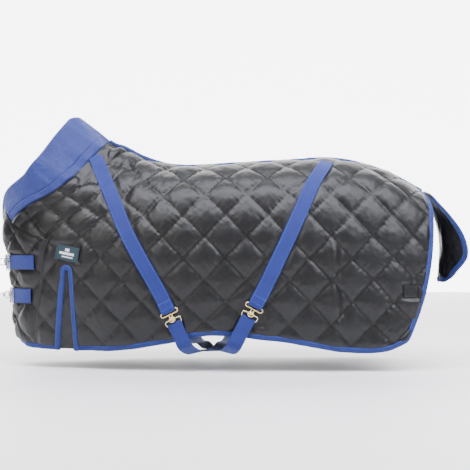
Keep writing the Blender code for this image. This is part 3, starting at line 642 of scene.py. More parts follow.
def quiltHeight(u, v, points, scale=1.0, seed=0):
    a, b = clothAB(u, v)
    x = (a - quiltLook["atA"]) / quiltLook["along"]
    y = (b - quiltLook["atB"]) / quiltLook["down"]
    p, q = x + y, x - y
    dp, dq = np.abs(p - np.round(p)), np.abs(q - np.round(q))
    dome = np.clip(np.sin(np.pi * dp) * np.sin(np.pi * dq), 0, 1) ** pillow["power"]
    uneven = 1 + 0.18 * softNoise(np.floor(p) * 1.7, np.floor(q) * 2.3, seed)
    height = pillow["valley"] + (pillow["crown"] - pillow["valley"]) * dome * uneven
    reach, cell = pillow["puckerReach"], pillow["cell"]
    height += pillow["pucker"] * (
        seamWaves(np.round(p), q * cell, seed) * np.exp(-dp * cell / reach)
        + seamWaves(np.round(q) + 50, p * cell, seed + 1) * np.exp(-dq * cell / reach)
    ) * (0.3 + 0.7 * smooth(dome * 2))
    height += pillow["crumple"] * (
        softNoise(a * 70, b * 55, seed + 5) + 0.6 * softNoise(a * 140, b * 120, seed + 6))
    # pressed flat where a strap is sewn over it
    for route in routePoints.values():
        across = np.full(u.shape, 1.0)
        flatten = np.stack([points[..., 0], np.abs(points[..., 1]), points[..., 2]], -1)
        for spot in route[::2]:
            target = np.array([spot[0], abs(spot[1]), spot[2]])
            across = np.minimum(across, np.linalg.norm(flatten - target, axis=-1))
        press = 1 - smooth((across - 0.024) / 0.022)
        height = height * (1 - press) + np.minimum(height, 0.0012) * press
    for x, z, wide, high in pressedSpots:
        sideways = np.abs(points[..., 0] - x) - wide / 2
        updown = np.abs(points[..., 2] - z) - high / 2
        press = 1 - smooth(np.maximum(sideways, updown) / 0.014)
        height = height * (1 - press) + np.minimum(height, 0.0006) * press
    return height * scale


def lineSet(stops, cell, row=None, column=None):
    # grid lines through every stop, about one cell apart on the cloth
    out = [np.array([float(stops[0])])]
    for start, stop in zip(stops, stops[1:]):
        if row is not None:
            a, b = rugPoint(start, row), rugPoint(stop, row)
        else:
            a, b = rugPoint(column, start), rugPoint(column, stop)
        count = max(1, int(round(np.linalg.norm(b - a) / cell)))
        out.append(np.linspace(start, stop, count + 1)[1:])
    return np.concatenate(out)


def maskedSheet(name, outer, inner, mask, finish, uvs, flip):
    nu, nv = outer.shape[:2]
    number = np.arange(nu * nv).reshape(nu, nv)
    half = nu * nv
    a, b = number[:-1, :-1], number[:-1, 1:]
    c, d = number[1:, 1:], number[1:, :-1]
    top = np.stack([a[mask], b[mask], c[mask], d[mask]], 1)
    walls = []
    grown = np.pad(mask, 1)
    for edge, beyond in (((a, b), grown[:-2, 1:-1]), ((b, c), grown[1:-1, 2:]),
                         ((c, d), grown[2:, 1:-1]), ((d, a), grown[1:-1, :-2])):
        rim = mask & ~beyond
        start, end = edge[0][rim], edge[1][rim]
        walls.append(np.stack([end, start, start + half, end + half], 1))
    faces = np.concatenate([top, top[:, ::-1] + half] + walls)
    if flip:
        faces = faces[:, ::-1]
    vertices = np.concatenate([outer.reshape(-1, 3), inner.reshape(-1, 3)])
    allUvs = np.concatenate([uvs.reshape(-1, 2)] * 2)
    used = np.unique(faces)
    renumber = np.full(len(vertices), -1)
    renumber[used] = np.arange(len(used))
    thing = makeObject(name, vertices[used], renumber[faces], finish, allUvs[used])
    thing.data.set_sharp_from_angle(angle=math.radians(55))
    return thing


def bodyGrid(cell):
    columns = lineSet([cut["collarColumn"], cut["seamColumn"], 2.40, 2.52, 3, 4, 5, 6, 7, 8,
                       (rearColumn + lastColumn) / 2], cell, row=5.0)
    rows = lineSet([spineRow * 0.5, 1, 2, 3, cut["collarRow"], cut["slitRow"], 5.3, 6.1,
                    (edgeRow + lastRow) / 2], cell, column=4.0)
    u = np.empty((len(columns), len(rows)))
    for j, v in enumerate(rows):
        cutIn = smooth((v - 3.7) / 0.8)
        front = 2.40 + (slitSide(v, -1, slitTape * 0.45) - 2.40) * cutIn
        back = 2.52 + (slitSide(v, 1, slitTape * 0.45) - 2.52) * cutIn
        u[:, j] = np.interp(columns, [1, 2.0, 2.40, 2.52, 3.2, 9.0], [1, 2.0, front, back, 3.2, 9.0])
    v = np.broadcast_to(rows, u.shape)
    cu, cv = (columns[:-1] + columns[1:]) / 2, (rows[:-1] + rows[1:]) / 2
    mask = np.ones((len(cu), len(cv)), bool)
    mask[np.ix_(cu < cut["seamColumn"], cv > cut["collarRow"])] = False
    mask[np.ix_((cu > 2.40) & (cu < 2.52), cv > cut["slitRow"])] = False
    return u, v, mask


def chestGrid(cell):
    columns = lineSet([frontColumn * 0.5, 1, cut["seamColumn"]], cell, row=5.0)
    rows = lineSet([cut["collarRow"], 5, 6, (edgeRow + lastRow) / 2], cell, column=1.5)
    u, v = np.meshgrid(columns, rows, indexing="ij")
    return u, v, np.ones((len(columns) - 1, len(rows) - 1), bool)


def panelUvs(u, v):
    return np.stack(clothAB(u, v), -1)


quiltSettings = {"cell": 0.0055, "liningCell": 0.014, "backDepth": -0.0096, "liningDepth": (-0.0100, -0.0112)}
stitchRows = {}


def addStitches(kind, points):
    stitchRows.setdefault(kind, []).append(np.asarray(points, float))


def edgeFade(u, v, chest):
    # the quilt thins out under the bindings and at the chest seam
    fade = smooth((lastRow - v) / (lastRow - edgeRow) - 0.55)
    if chest:
        fade = fade * smooth(u / frontColumn - 0.55) * smooth((cut["seamColumn"] - u) * 9) \
            * smooth((v - cut["collarRow"]) * 7)
    else:
        fade = fade * smooth((lastColumn - u) / (lastColumn - rearColumn) - 0.55) \
            * smooth((v / spineRow - 0.55) / 2.4)
        slit = np.maximum(slitSide(v, -1) - u, u - slitSide(v, 1)) - slitTape * 0.5
        fade = fade * np.where(v > cut["slitRow"] - 0.1, smooth(slit / slitTape), 1.0)
        seam = np.where(v > cut["collarRow"], smooth((u - cut["seamColumn"]) * 9), 1.0)
        neck = smooth((u - cut["collarColumn"]) * 9)
        fade = fade * seam * neck
    return fade


def makePanels():
    s = quiltSettings
    for part, grid in (("", bodyGrid), ("chest_", chestGrid)):
        u, v, mask = grid(s["cell"])
        fade = edgeFade(u, v, part != "")
        bare = rugPoint(u, v)
        uvs = panelUvs(u, v)
        for side in ("left", "right"):
            seed = 0 if side == "left" else 11
            height = quiltHeight(u, v, bare, 1.0, seed) * fade
            signed = signedRow(v, side)
            outer = clothPoint(u, signed, height)
            inner = clothPoint(u, signed, np.full(u.shape, s["backDepth"]) * (0.55 + 0.45 * fade))
            thing = maskedSheet(f"{side}_{part}quilt", outer, inner, mask, shellNylon, uvs, side == "right")
            place(thing, "rug", "shell", f"{side}_{part}shell", f"{side}_{part}padding")
        u, v, mask = grid(s["liningCell"])
        bare = rugPoint(u, v)
        for side in ("left", "right"):
            signed = signedRow(v, side)
            dip = quiltHeight(u, v, bare, 0.22, 4) * edgeFade(u, v, part != "")
            outer = clothPoint(u, signed, s["liningDepth"][0] - dip)
            inner = clothPoint(u, signed, s["liningDepth"][1] - dip)
            thing = maskedSheet(f"{side}_{part}inner_cloth", outer, inner, mask, liningNylon, panelUvs(u, v),
                                side == "right")
            area = sheetArea(thing)
            place(thing, "rug", "lining", f"{side}_{part}lining")
            print(thing.name, "area", round(area, 3), len(thing.data.polygons))
    print("quilted panels made")


makePanels()


def makeChestSeams():
    # the chest panel is sewn in with a run-and-fell seam that shows as a dark line
    for side in ("left", "right"):
        sign = 1 if side == "left" else -1
        for name, u, v in (
                ("down", np.full(120, cut["seamColumn"]), np.linspace(cut["collarRow"], edgeRow + 0.1, 120)),
                ("neck", np.linspace(cut["collarColumn"], cut["seamColumn"], 60), np.full(60, cut["collarRow"]))):
            path = clothPoint(u, v * sign, np.full(u.shape, -0.0004))
            place(wire(f"{side}_{name}_seam", path, 0.0014, darkThread, sides=8), "rug", "shell")


makeChestSeams()

# bindings: webbing folded over each raw edge
tapeSettings = {"width": 0.018, "thick": 0.0011, "proud": 0.0017, "depth": 0.0126, "ripple": 0.0006,
                "step": 0.006}


def tapeProfile(width, proud, depth, thick):
    # x runs into the cloth from the raw edge, y out of the rug; the fold is round
    outer = [(width, proud - 0.0006), (width * 0.93, proud), (width * 0.5, proud + 0.0004),
             (0.0030, proud - 0.0004)]
    middle = (proud - depth) / 2
    reach = (proud + depth) / 2 - 0.0010
    for turn in (70, 45, 20, 0, -20, -45, -70):
        angle = math.radians(turn)
        outer.append((0.0022 - 0.0034 * math.cos(angle), middle + reach * math.sin(angle)))
    outer += [(0.0030, -depth + 0.0002), (width * 0.5, -depth - 0.0004), (width * 0.93, -depth),
              (width, -depth + 0.0006)]
    inner = [(width, -depth + thick), (0.0045, -depth + thick + 0.0003), (0.0018, middle),
             (0.0045, proud - thick - 0.0003), (width, proud - thick - 0.0008)]
    return outer + inner


def edgeTape(name, route, side, inwards, s=tapeSettings):
    # route is a list of (column, row) along the raw edge; inwards gives a nearby point inside the cloth
    u, v = route[:, 0], route[:, 1]
    signed = signedRow(v, side)
    centres = clothPoint(u, signed, np.zeros(len(u)))
    normals = rugNormal(u, signed)
    into = clothPoint(inwards[:, 0], signedRow(inwards[:, 1], side), np.zeros(len(u))) - centres
    along = unit(np.gradient(centres, axis=0))
    into = into - normals * (into * normals).sum(-1, keepdims=True)
    into = unit(into - along * 0.6 * (into * along).sum(-1, keepdims=True))
    run = runAlong(centres)
    centres = centres + normals * (s["ripple"] * softNoise(run * 60, 0.0, 8))[:, None] \
        + into * (0.8 * s["ripple"] * softNoise(run * 45, 3.0, 9))[:, None]
    addStitches("binding", centres + into * s["width"] * 0.82 + normals * (s["proud"] + 0.0002))
    profile = tapeProfile(s["width"], s["proud"], s["depth"], s["thick"])
    return sweep(name, centres, into, normals, profile, blueBinding)


def roundedRoute(route, kernel):
    kernel = kernel / kernel.sum()
    half = len(kernel) // 2
    grown = np.concatenate([np.repeat(route[:1], half, 0), route, np.repeat(route[-1:], half, 0)])
    return np.stack([np.convolve(grown[:, c], kernel, "valid") for c in (0, 1)], 1)


def evenRoute(corners, step, rounding=0.0):
    # even steps over the cloth along straight runs of (column, row)
    fine = []
    for start, stop in zip(corners, corners[1:]):
        t = np.linspace(0, 1, 400)[:, None]
        fine.append(np.array(start) * (1 - t) + np.array(stop) * t)
    fine = np.concatenate(fine)
    points = rugPoint(fine[:, 0], fine[:, 1])
    run = runAlong(points)
    want = np.linspace(0, run[-1], max(3, round(run[-1] / step)))
    route = np.stack([np.interp(want, run, fine[:, 0]), np.interp(want, run, fine[:, 1])], 1)
    if rounding:
        ends = route[[0, -1]].copy()
        route = roundedRoute(route, np.hanning(2 * int(rounding / step) + 3))
        route[[0, -1]] = ends
    return route


def makeBindings():
    step = tapeSettings["step"]
    slitEnd = [float(slitSide(lastRow, k)) for k in (-1, 1)]
    for side in ("left", "right"):
        parts = []
        front = evenRoute([(0.0, cut["collarRow"]), (0.0, lastRow), (slitEnd[0], lastRow)], step, 0.012)
        back = evenRoute([(slitEnd[1], lastRow), (lastColumn, lastRow), (lastColumn, 0.02)], step, 0.016)
        for k, route in enumerate((front, back)):
            inside = route.copy()
            nearEnd = route[:, 1] > lastRow - 0.12
            inside[:, 1] = np.where(nearEnd, route[:, 1] - 0.2, route[:, 1])
            if k == 0:
                inside[:, 0] += np.where(route[:, 0] < 0.5, 0.3 * smooth((0.5 - route[:, 0]) / 0.5), 0)
            else:
                inside[:, 0] -= 0.3 * smooth((route[:, 0] - lastColumn + 0.35) / 0.35)
            parts.append(edgeTape(f"part_{k}", route, side, inside))
        place(joined(f"{side}_edge_tape", parts), "rug", "blue_webbing", f"{side}_edge_binding")
        rows = np.linspace(lastRow, cut["slitRow"] + 0.03, 60)
        loop = [(float(slitSide(v, -1)), v) for v in rows] + [(float(slitSide(v, 1)), v) for v in rows[::-1]]
        route = evenRoute(loop, 0.004, 0.004)
        inside = route.copy()
        between = (slitSide(route[:, 1], -1) + slitSide(route[:, 1], 1)) / 2
        away = np.sign(route[:, 0] - between)
        top = smooth((cut["slitRow"] + 0.10 - route[:, 1]) / 0.08)
        inside[:, 0] += away * 0.15 * (1 - top)
        inside[:, 1] -= 0.25 * top
        narrow = {**tapeSettings, "width": 0.0165, "proud": 0.0022}
        tape = edgeTape(f"{side}_pleat_tape", route, side, inside, narrow)
        place(tape, "rug", "blue_webbing", f"{side}_gusset_binding")
        # the pleat's own cloth, set back behind the slit and sagging a little
        v = np.linspace(cut["slitRow"] + 0.05, lastRow - 0.04, 60)
        wide = np.linspace(-1, 1, 15)
        sides = [slitSide(v, k, slitTape * 0.5) for k in (-1, 1)]
        u = (sides[0] + sides[1]) / 2 + wide[:, None] * ((sides[1] - sides[0]) / 2)[None, :]
        vv = np.broadcast_to(v, u.shape)
        signed = signedRow(vv, side)
        back = -0.0052 - 0.004 * (1 - wide[:, None] ** 2) \
            - 0.0012 * softNoise(wide[:, None] * 2 + vv * 3, vv * 4, 2)
        outer = clothPoint(u, signed, back)
        inner = clothPoint(u, signed, back - 0.0014)
        panel = closedSheet(f"{side}_pleat_cloth", outer, inner, liningNylon, panelUvs(u, vv), side == "right")
        place(panel, "rug", "lining", f"{side}_gusset_panel")
    columns = lineSet([cut["collarColumn"], 2, 3, 4, 5, 6, 7, 8, lastColumn], 0.007, row=0.3)
    across = np.linspace(-1, 1, 13)
    u, w = np.meshgrid(columns, across, indexing="ij")
    v = w * spineRow
    a = fromTable(tableA, u, np.abs(v))
    lump = 0.0007 * softNoise(a * 70, w * 1.5, 12)
    top = clothPoint(u, v, 0.0062 - 0.0056 * np.abs(w) ** 3 + lump)
    under = clothPoint(u, v, -0.0124 + 0 * a)
    spine = closedSheet("spine_tape", top, under, blueBinding, np.stack([a, w * 0.0144], -1))
    place(spine, "rug", "blue_webbing", "spine_binding")
    print("bindings made")


makeBindings()

# collar: one padded piece over the neck
collarSettings = {"thick": 0.0100, "crown": 0.0036, "rimWave": 0.0035, "fold": 0.0085, "cropped": 0.12,
                  "columns": 56, "rows": 330}


def rimWave(v):
    near = np.abs(v)
    return collarSettings["rimWave"] * np.sin(near * 5.2 + 0.6 * np.sin(near * 2.1))


def makeCollar():
    s = collarSettings
    t = np.linspace(0, 1, s["columns"])
    w = np.linspace(-cut["collarRow"], cut["collarRow"], s["rows"])
    round01 = 0.5 - 0.5 * np.cos(np.pi * t)
    share = t * 0.5 + round01 * 0.5
    u, v = np.meshgrid(share * cut["collarColumn"], w, indexing="ij")
    cropped = s["cropped"] * (1 - smooth(np.abs(v) / 0.9))
    u = cropped + (1 - cropped) * u
    points = rugPoint(u, v)
    near = np.abs(v)
    x, z = points[..., 0], points[..., 2]
    rim = np.minimum((u - cropped) / 0.07, (cut["collarColumn"] - u) / 0.05)
    ends = np.minimum(rim, (cut["collarRow"] - near) / 0.05)
    edge = np.sqrt(np.clip(1 - (1 - np.clip(ends, 0, 1)) ** 2, 0, 1))
    crown = s["crown"] * np.sin(np.pi * np.clip(u / cut["collarColumn"], 0, 1)) ** 0.5
    flow = (x * 0.62 + z * 0.78)
    cross = (x * 0.78 - z * 0.62)
    folds = s["fold"] * softNoise(flow * 21, cross * 5 + np.sign(v) * 3, 21) * smooth(near / 1.2) \
        * (0.35 + 0.65 * smooth((u - 0.35) / 0.5))
    folds += 0.0016 * softNoise(flow * 60, cross * 14, 22) + 0.0007 * softNoise(x * 150, z * 130, 23)
    band = -0.0030 * np.exp(-((u - 0.76) / 0.022) ** 2) * smooth(near / 0.5)
    wave = rimWave(near) * (1 - smooth(u / 0.4))
    half = s["thick"] / 2
    outer = clothPoint(u, v, -half + half * edge + (crown + folds + band) * edge + wave)
    inner = clothPoint(u, v, -half - half * edge * 0.95 + wave)
    uvs = np.stack([fromTable(tableA, u, near), fromTable(tableB, u, near) * np.sign(v + 1e-9)], -1)
    collar = closedSheet("padded_collar", outer, inner, collarCloth, uvs)
    place(collar, "rug", "collar_cloth", "neck_collar")
    # lining just under the padding, short of the rim
    t = np.linspace(0.14, 0.985, 22)
    w = np.linspace(-cut["collarRow"] * 0.99, cut["collarRow"] * 0.99, 130)
    u, v = np.meshgrid(t, w, indexing="ij")
    wave = rimWave(v) * (1 - smooth(u / 0.4))
    outer = clothPoint(u, v, -0.0101 + wave)
    inner = clothPoint(u, v, -0.0114 + wave)
    lining = closedSheet("collar_inner_cloth", outer, inner, liningNylon, panelUvs(u, np.abs(v)))
    place(lining, "rug", "lining", "collar_lining")
    # slim dark piping round the rim
    v = np.linspace(-cut["collarRow"], cut["collarRow"], 420)
    u = 0.006 + s["cropped"] * (1 - smooth(np.abs(v) / 0.9))
    wave = rimWave(v)
    path = clothPoint(u, v, -half + wave)
    piping = wire("collar_piping", path, 0.0024, pipingCloth, sides=10)
    place(piping, "rug", "collar_cloth")
    print("collar made")


makeCollar()

# webbing straps
def bandProfile(width, thick):
    half, r = width / 2, thick / 2
    out = []
    for x0, turns in ((half - r, (90, 45, 0, -45, -90)), (-half + r, (-90, -135, 180, 135, 90))):
        out += [(x0 + r * math.cos(math.radians(t)), r * math.sin(math.radians(t))) for t in turns]
        if x0 > 0:
            out += [(x, -r) for x in np.linspace(half - r, -half + r, 9)[1:-1]]
    return out + [(x, r) for x in np.linspace(-half + r, half - r, 9)[1:-1]]


def band(name, centres, acrosses, normals, width, thick, finish, cupped=0.0, stitched=None):
    centres = np.asarray(centres, float)
    profile = np.array(bandProfile(width, thick))
    profile[:, 1] += cupped * (1 - (profile[:, 0] * 2 / width) ** 2)
    run = runAlong(centres)
    thing = sweep(name, centres, acrosses, normals, profile, finish)
    if stitched:
        acrosses, normals = np.asarray(acrosses, float), np.asarray(normals, float)
        for k in (-1, 1):
            row = centres + acrosses * k * (width / 2 - 0.0045) + normals * (thick / 2 + 0.0001)
            addStitches(stitched, row[2:-14])
    return thing, run[-1]


def foldPath(bar, along, normal, radius, start, stop, count=9):
    # points and facings round a bar, turning from the normal towards along
    out = []
    for turn in np.linspace(start, stop, count):
        facing = normal * math.cos(math.radians(turn)) + along * math.sin(math.radians(turn))
        out.append((bar + facing * radius, facing))
    return out


strapEnds = {}


def makeSurcingle(which, side):
    s = surcingleSettings
    u, v = routes[which][:, 0], routes[which][:, 1]
    if which == "rear":  # its top goes in under the spine binding
        u, v = np.concatenate([[u[0] + 0.04], u]), np.concatenate([[max(v[0] - 0.12, spineRow)], v])
    base = rugPoint(u, v)
    normal = rugNormal(u, v)
    run = runAlong(base)
    free = np.clip(1 - (run[-1] - run) / s["freeRun"], 0, 1)
    tucked = s["tuck"] * (1 - smooth(run / 0.016)) if which == "front" else 0.0
    if which == "front":  # the gathers by the collar lift it a little
        tucked = tucked - s["gatherLift"] * np.exp(-((run - 0.058) / 0.030) ** 2)
    ripple = s["ripple"] * softNoise(run * 22, 0.0, 31)
    laid = s["under"] + s["thick"] / 2 + ripple - tucked
    height = laid * (1 - free ** 2) + (s["endLift"] + s["thick"] / 2) * free ** 2
    settle = drape(u, v) * (1 - free ** 2)
    centres = base + normal * (height + settle)[:, None]
    along = unit(np.gradient(base, axis=0))
    across = unit(np.cross(normal, along))
    end, endNormal = base[-1], normal[-1]
    endAlong = unit(base[-1] - base[-4])
    endAcross = unit(np.cross(endNormal, endAlong))
    bar = end + endNormal * (s["endLift"] - s["fold"]) + endAlong * 0.001
    middle = s["fold"] + s["thick"] / 2
    fold = foldPath(bar, endAlong, endNormal, middle, 10, 180)
    centres = np.concatenate([centres, [p for p, _ in fold]])
    faces = np.concatenate([normal, [f for _, f in fold]])
    acrosses = np.concatenate([across, [endAcross] * len(fold)])
    for back in np.arange(0.006, 0.036, 0.006):
        rise = 0.9 * min(1.0, back / 0.03)
        centres = np.concatenate([centres, [bar - endNormal * (middle - rise * 0.004) - endAlong * back]])
        faces = np.concatenate([faces, [-endNormal]])
        acrosses = np.concatenate([acrosses, [endAcross]])
    centres, faces, acrosses = (mirror(x, side) for x in (centres, faces, acrosses))
    thing, length = band(f"{side}_{which}_strap", centres, acrosses, faces, s["width"], s["thick"], blueWebbing,
                         stitched="rug")
    for back in (0.006, 0.009, 0.030, 0.033):  # the fold is sewn down by two double rows
        ends = [endNormal * (s["endLift"] + s["thick"] + 0.0001) - endAlong * back + endAcross * k * 0.021
                for k in (-1, 1)]
        addStitches("rug", mirror([end + e for e in ends], side))
    place(thing, "rug", "blue_webbing", f"{side}_{which}_surcingle")
    strapEnds[side, which] = tuple(mirror(x, side) for x in (bar, endAlong, endAcross, endNormal))


for which in ("front", "rear"):
    for side in ("left", "right"):
        makeSurcingle(which, side)
print("surcingles made")


def ovalLoop(centre, right, up, width, height, corner, count=7):
    out = []
    for quarter, (sx, sy) in enumerate(((1, 1), (-1, 1), (-1, -1), (1, -1))):
        for step in np.linspace(0, 90, count):
            turn = math.radians(90 * quarter + step)
            out.append(centre + right * (sx * (width / 2 - corner) + corner * math.cos(turn))
                       + up * (sy * (height / 2 - corner) + corner * math.sin(turn)))
    return np.array(out)


def deeRing(name, node, middle, right, reach, halfWide, deep):
    # a dee: a straight bar, and a bow that reaches away from it
    spots = [middle - right * halfWide, middle, middle + right * halfWide]
    spots += [middle + right * halfWide * math.cos(t) + reach * deep * math.sin(t)
              for t in np.linspace(0.25, math.pi - 0.25, 12)]
    place(wire(name, spots, 0.0021, nickelPlate, closed=True), node, "nickel_fitting", node)


def barSlide(name, node, right, up, size, corner, wires, halfBar, finish, slot):
    # a frame with one bar across it, along up
    middle = boxMiddle(node)
    parts = [wire("frame", ovalLoop(middle, right, up, *size, corner), wires[0], finish, closed=True),
             wire("bar", [middle - halfBar, middle + halfBar], wires[1], finish)]
    place(joined(name, parts), node, slot, node)


hookSettings = {"width": 0.062, "wire": 0.0023, "run": 0.0136, "headAt": 0.0315, "headOut": 0.0060,
                "headWide": 0.0125, "headLong": 0.0100, "headThick": 0.0030, "prong": 0.0048}


def makeHook(which):
    # cast clasp: an oval loop for the webbing, two prongs and a dished head that dips through the ring
    s = hookSettings
    bar, along, across, normal = strapEnds["left", which]
    loop = ovalLoop(bar + along * s["run"] / 2, across, along, s["width"], s["run"], 0.0066)
    parts = [wire("loop", loop, s["wire"], brassPlate, closed=True, sides=16)]
    for sign in (-1, 1):
        rise = ((s["run"] - 0.0004, 0.0), (0.018, 0.0010), (0.022, 0.0028), (0.0262, 0.0046), (0.029, 0.0052))
        spots = [bar + across * sign * s["prong"] + along * r + normal * h for r, h in rise]
        parts.append(wire("prong", evenLine(spots, 0.0015), 0.0021, brassPlate, sides=12))
    rings, turns = 9, 40
    top, under = [], []
    for r in np.linspace(0.03, 1, rings):
        for t in np.linspace(0, 2 * math.pi, turns, endpoint=False):
            x, y = s["headWide"] * r * math.cos(t), s["headLong"] * r * math.sin(t)
            lip = 0.0016 * smooth((r - 0.62) / 0.25) * (1 - smooth((r - 0.90) / 0.12))
            centre = bar + along * (s["headAt"] + y) + across * x
            out = s["headOut"] - 0.0012 * (1 - r) ** 2 + lip
            round01 = math.sqrt(max(0.0, 1 - max(0.0, (r - 0.86) / 0.14) ** 2))
            top.append(centre + normal * (out + s["headThick"] / 2 * round01))
            under.append(centre + normal * (out - lip * 0.5 - s["headThick"] / 2 * round01))
    n = rings * turns
    faces = [[k for k in range(turns)], [n + k for k in range(turns)][::-1]]
    for r in range(rings - 1):
        for t in range(turns):
            a, b = r * turns + t, r * turns + (t + 1) % turns
            faces += [[a, b, b + turns, a + turns], [n + a + turns, n + b + turns, n + b, n + a]]
    for t in range(turns):
        a, b = (rings - 1) * turns + t, (rings - 1) * turns + (t + 1) % turns
        faces.append([a, b, n + b, n + a])
    parts.append(turnOut(makeObject("head", np.array(top + under), faces, brassPlate)))
    place(joined(f"{which}_cast_hook", parts), f"{which}_hook", "brass_fitting", f"{which}_hook")
    ringTop = bar + along * 0.031 + normal * 0.0005
    ringLow = ringTop + along * 0.017
    loop = ovalLoop(ringTop + along * 0.0085, across, along, 0.056, 0.017, 0.0052)
    ring = wire(f"{which}_square_ring", loop, 0.0021, paleBrass, closed=True, sides=16)
    place(ring, f"{which}_belly_ring", "nickel_fitting", f"{which}_belly_ring")
    return ringLow


ringBars = {which: makeHook(which) for which in ("front", "rear")}
# the two straps cross, so each passes a little above or below the drop
bellySettings = {"drop": 0.750, "crossing": 0.004, "turn": 0.715, "thick": 0.0024, "width": 0.050, "wrap": 0.0036,
                 "farRing": 0.0125, "sink": 0.014}


def makeBellyStrap(which):
    # sewn round the near ring, under the belly, and round a bar that hangs in the far surcingle's fold
    s = bellySettings
    near = strapEnds["left", which]
    far = strapEnds["right", "rear" if which == "front" else "front"]
    drop = s["drop"] + (s["crossing"] if which == "front" else -s["crossing"])
    nearBar, farBar = ringBars[which], far[0] + far[1] * s["farRing"]
    low = np.array([((nearBar + far[0]) / 2)[0], 0, -drop])

    def underHem(end, along, normal):
        return end + along * ((end[2] + s["turn"]) / -along[2]) + normal * 0.006
    start = nearBar + near[1] * 0.0030 + near[3] * s["wrap"]
    stop = farBar + far[1] * 0.0030 + far[3] * s["wrap"]
    nearTurn, farTurn = underHem(nearBar, near[1], near[3]), underHem(farBar, far[1], far[3])
    sink = np.array([0, 0, s["sink"]])
    route = [start, start * 0.5 + nearTurn * 0.5 + near[3] * 0.003, nearTurn,
             nearTurn * 0.7 + low * 0.3 - sink, nearTurn * 0.38 + low * 0.62, low,
             farTurn * 0.38 + low * 0.62, farTurn * 0.7 + low * 0.3 - sink, farTurn,
             stop * 0.5 + farTurn * 0.5 + far[3] * 0.003, stop]
    points = evenLine(route, 0.008)
    along = unit(np.gradient(points, axis=0))
    share = np.linspace(0, 1, len(points))[:, None]
    farAcross = far[2] if near[2] @ far[2] > 0 else -far[2]
    across = near[2] * (1 - share) + farAcross * share
    across = unit(across - along * (across * along).sum(-1, keepdims=True))
    face = unit(np.cross(across, along))
    want = near[3] * (1 - share) + far[3] * share + np.array([0, 0, -1.5])
    face *= np.sign((face * want).sum(-1, keepdims=True))
    wrapNear = foldPath(nearBar, -near[1], near[3], s["wrap"], 170, 10)
    wrapFar = foldPath(farBar, -far[1], far[3], s["wrap"], 10, 170)
    tailNear, tailFar = ([(bar + end[1] * d - end[3] * (s["wrap"] - 0.0008 * d / 0.03), -end[3])
                          for d in (0.005, 0.014, 0.024, 0.034)] for bar, end in ((nearBar, near), (farBar, far)))
    first, last = tailNear[::-1] + wrapNear, wrapFar + tailFar
    centres = np.concatenate([[p for p, _ in first], points, [p for p, _ in last]])
    faces = np.concatenate([[f for _, f in first], face, [f for _, f in last]])
    acrosses = np.concatenate([[across[0]] * len(first), across, [across[-1]] * len(last)])
    thing, length = band(f"{which}_belly_webbing", centres, acrosses, faces, s["width"], s["thick"],
                         blueWebbing)
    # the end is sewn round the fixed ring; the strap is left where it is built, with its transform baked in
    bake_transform(thing)
    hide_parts(f"{which}_belly_strap")
    loop = ovalLoop(far[0] + far[1] * 0.00625, far[2], far[1], 0.057, s["farRing"], 0.0042)
    place(wire(f"{which}_far_ring", loop, 0.0020, blackPlate, closed=True), "rug", "black_fitting")
    barSlide(f"{which}_slide", f"{which}_strap_adjuster", far[2], far[1], (0.0555, 0.0255), 0.0035,
             (0.0021, 0.0019), far[2] * 0.0265, blackPlate, "black_fitting")


for which in ("front", "rear"):
    makeBellyStrap(which)
print("belly straps and clasps made")

# chest straps
# upper and lower give each strap's height and the x of its back end
chestSettings = {"width": 0.050, "thick": 0.0022, "lift": 0.0052, "fold": 0.0034, "standOff": 0.0040,
                 "ringOut": 0.0044, "ringProud": 0.0042, "upper": (-0.433, -0.245), "lower": (-0.551, -0.258)}


def rowAtHeight(column, height):
    low, high = 3.6, float(lastRow)
    for _ in range(30):
        v = (low + high) / 2
        low, high = (v, high) if rugPoint(column, v)[2] > height else (low, v)
    return v


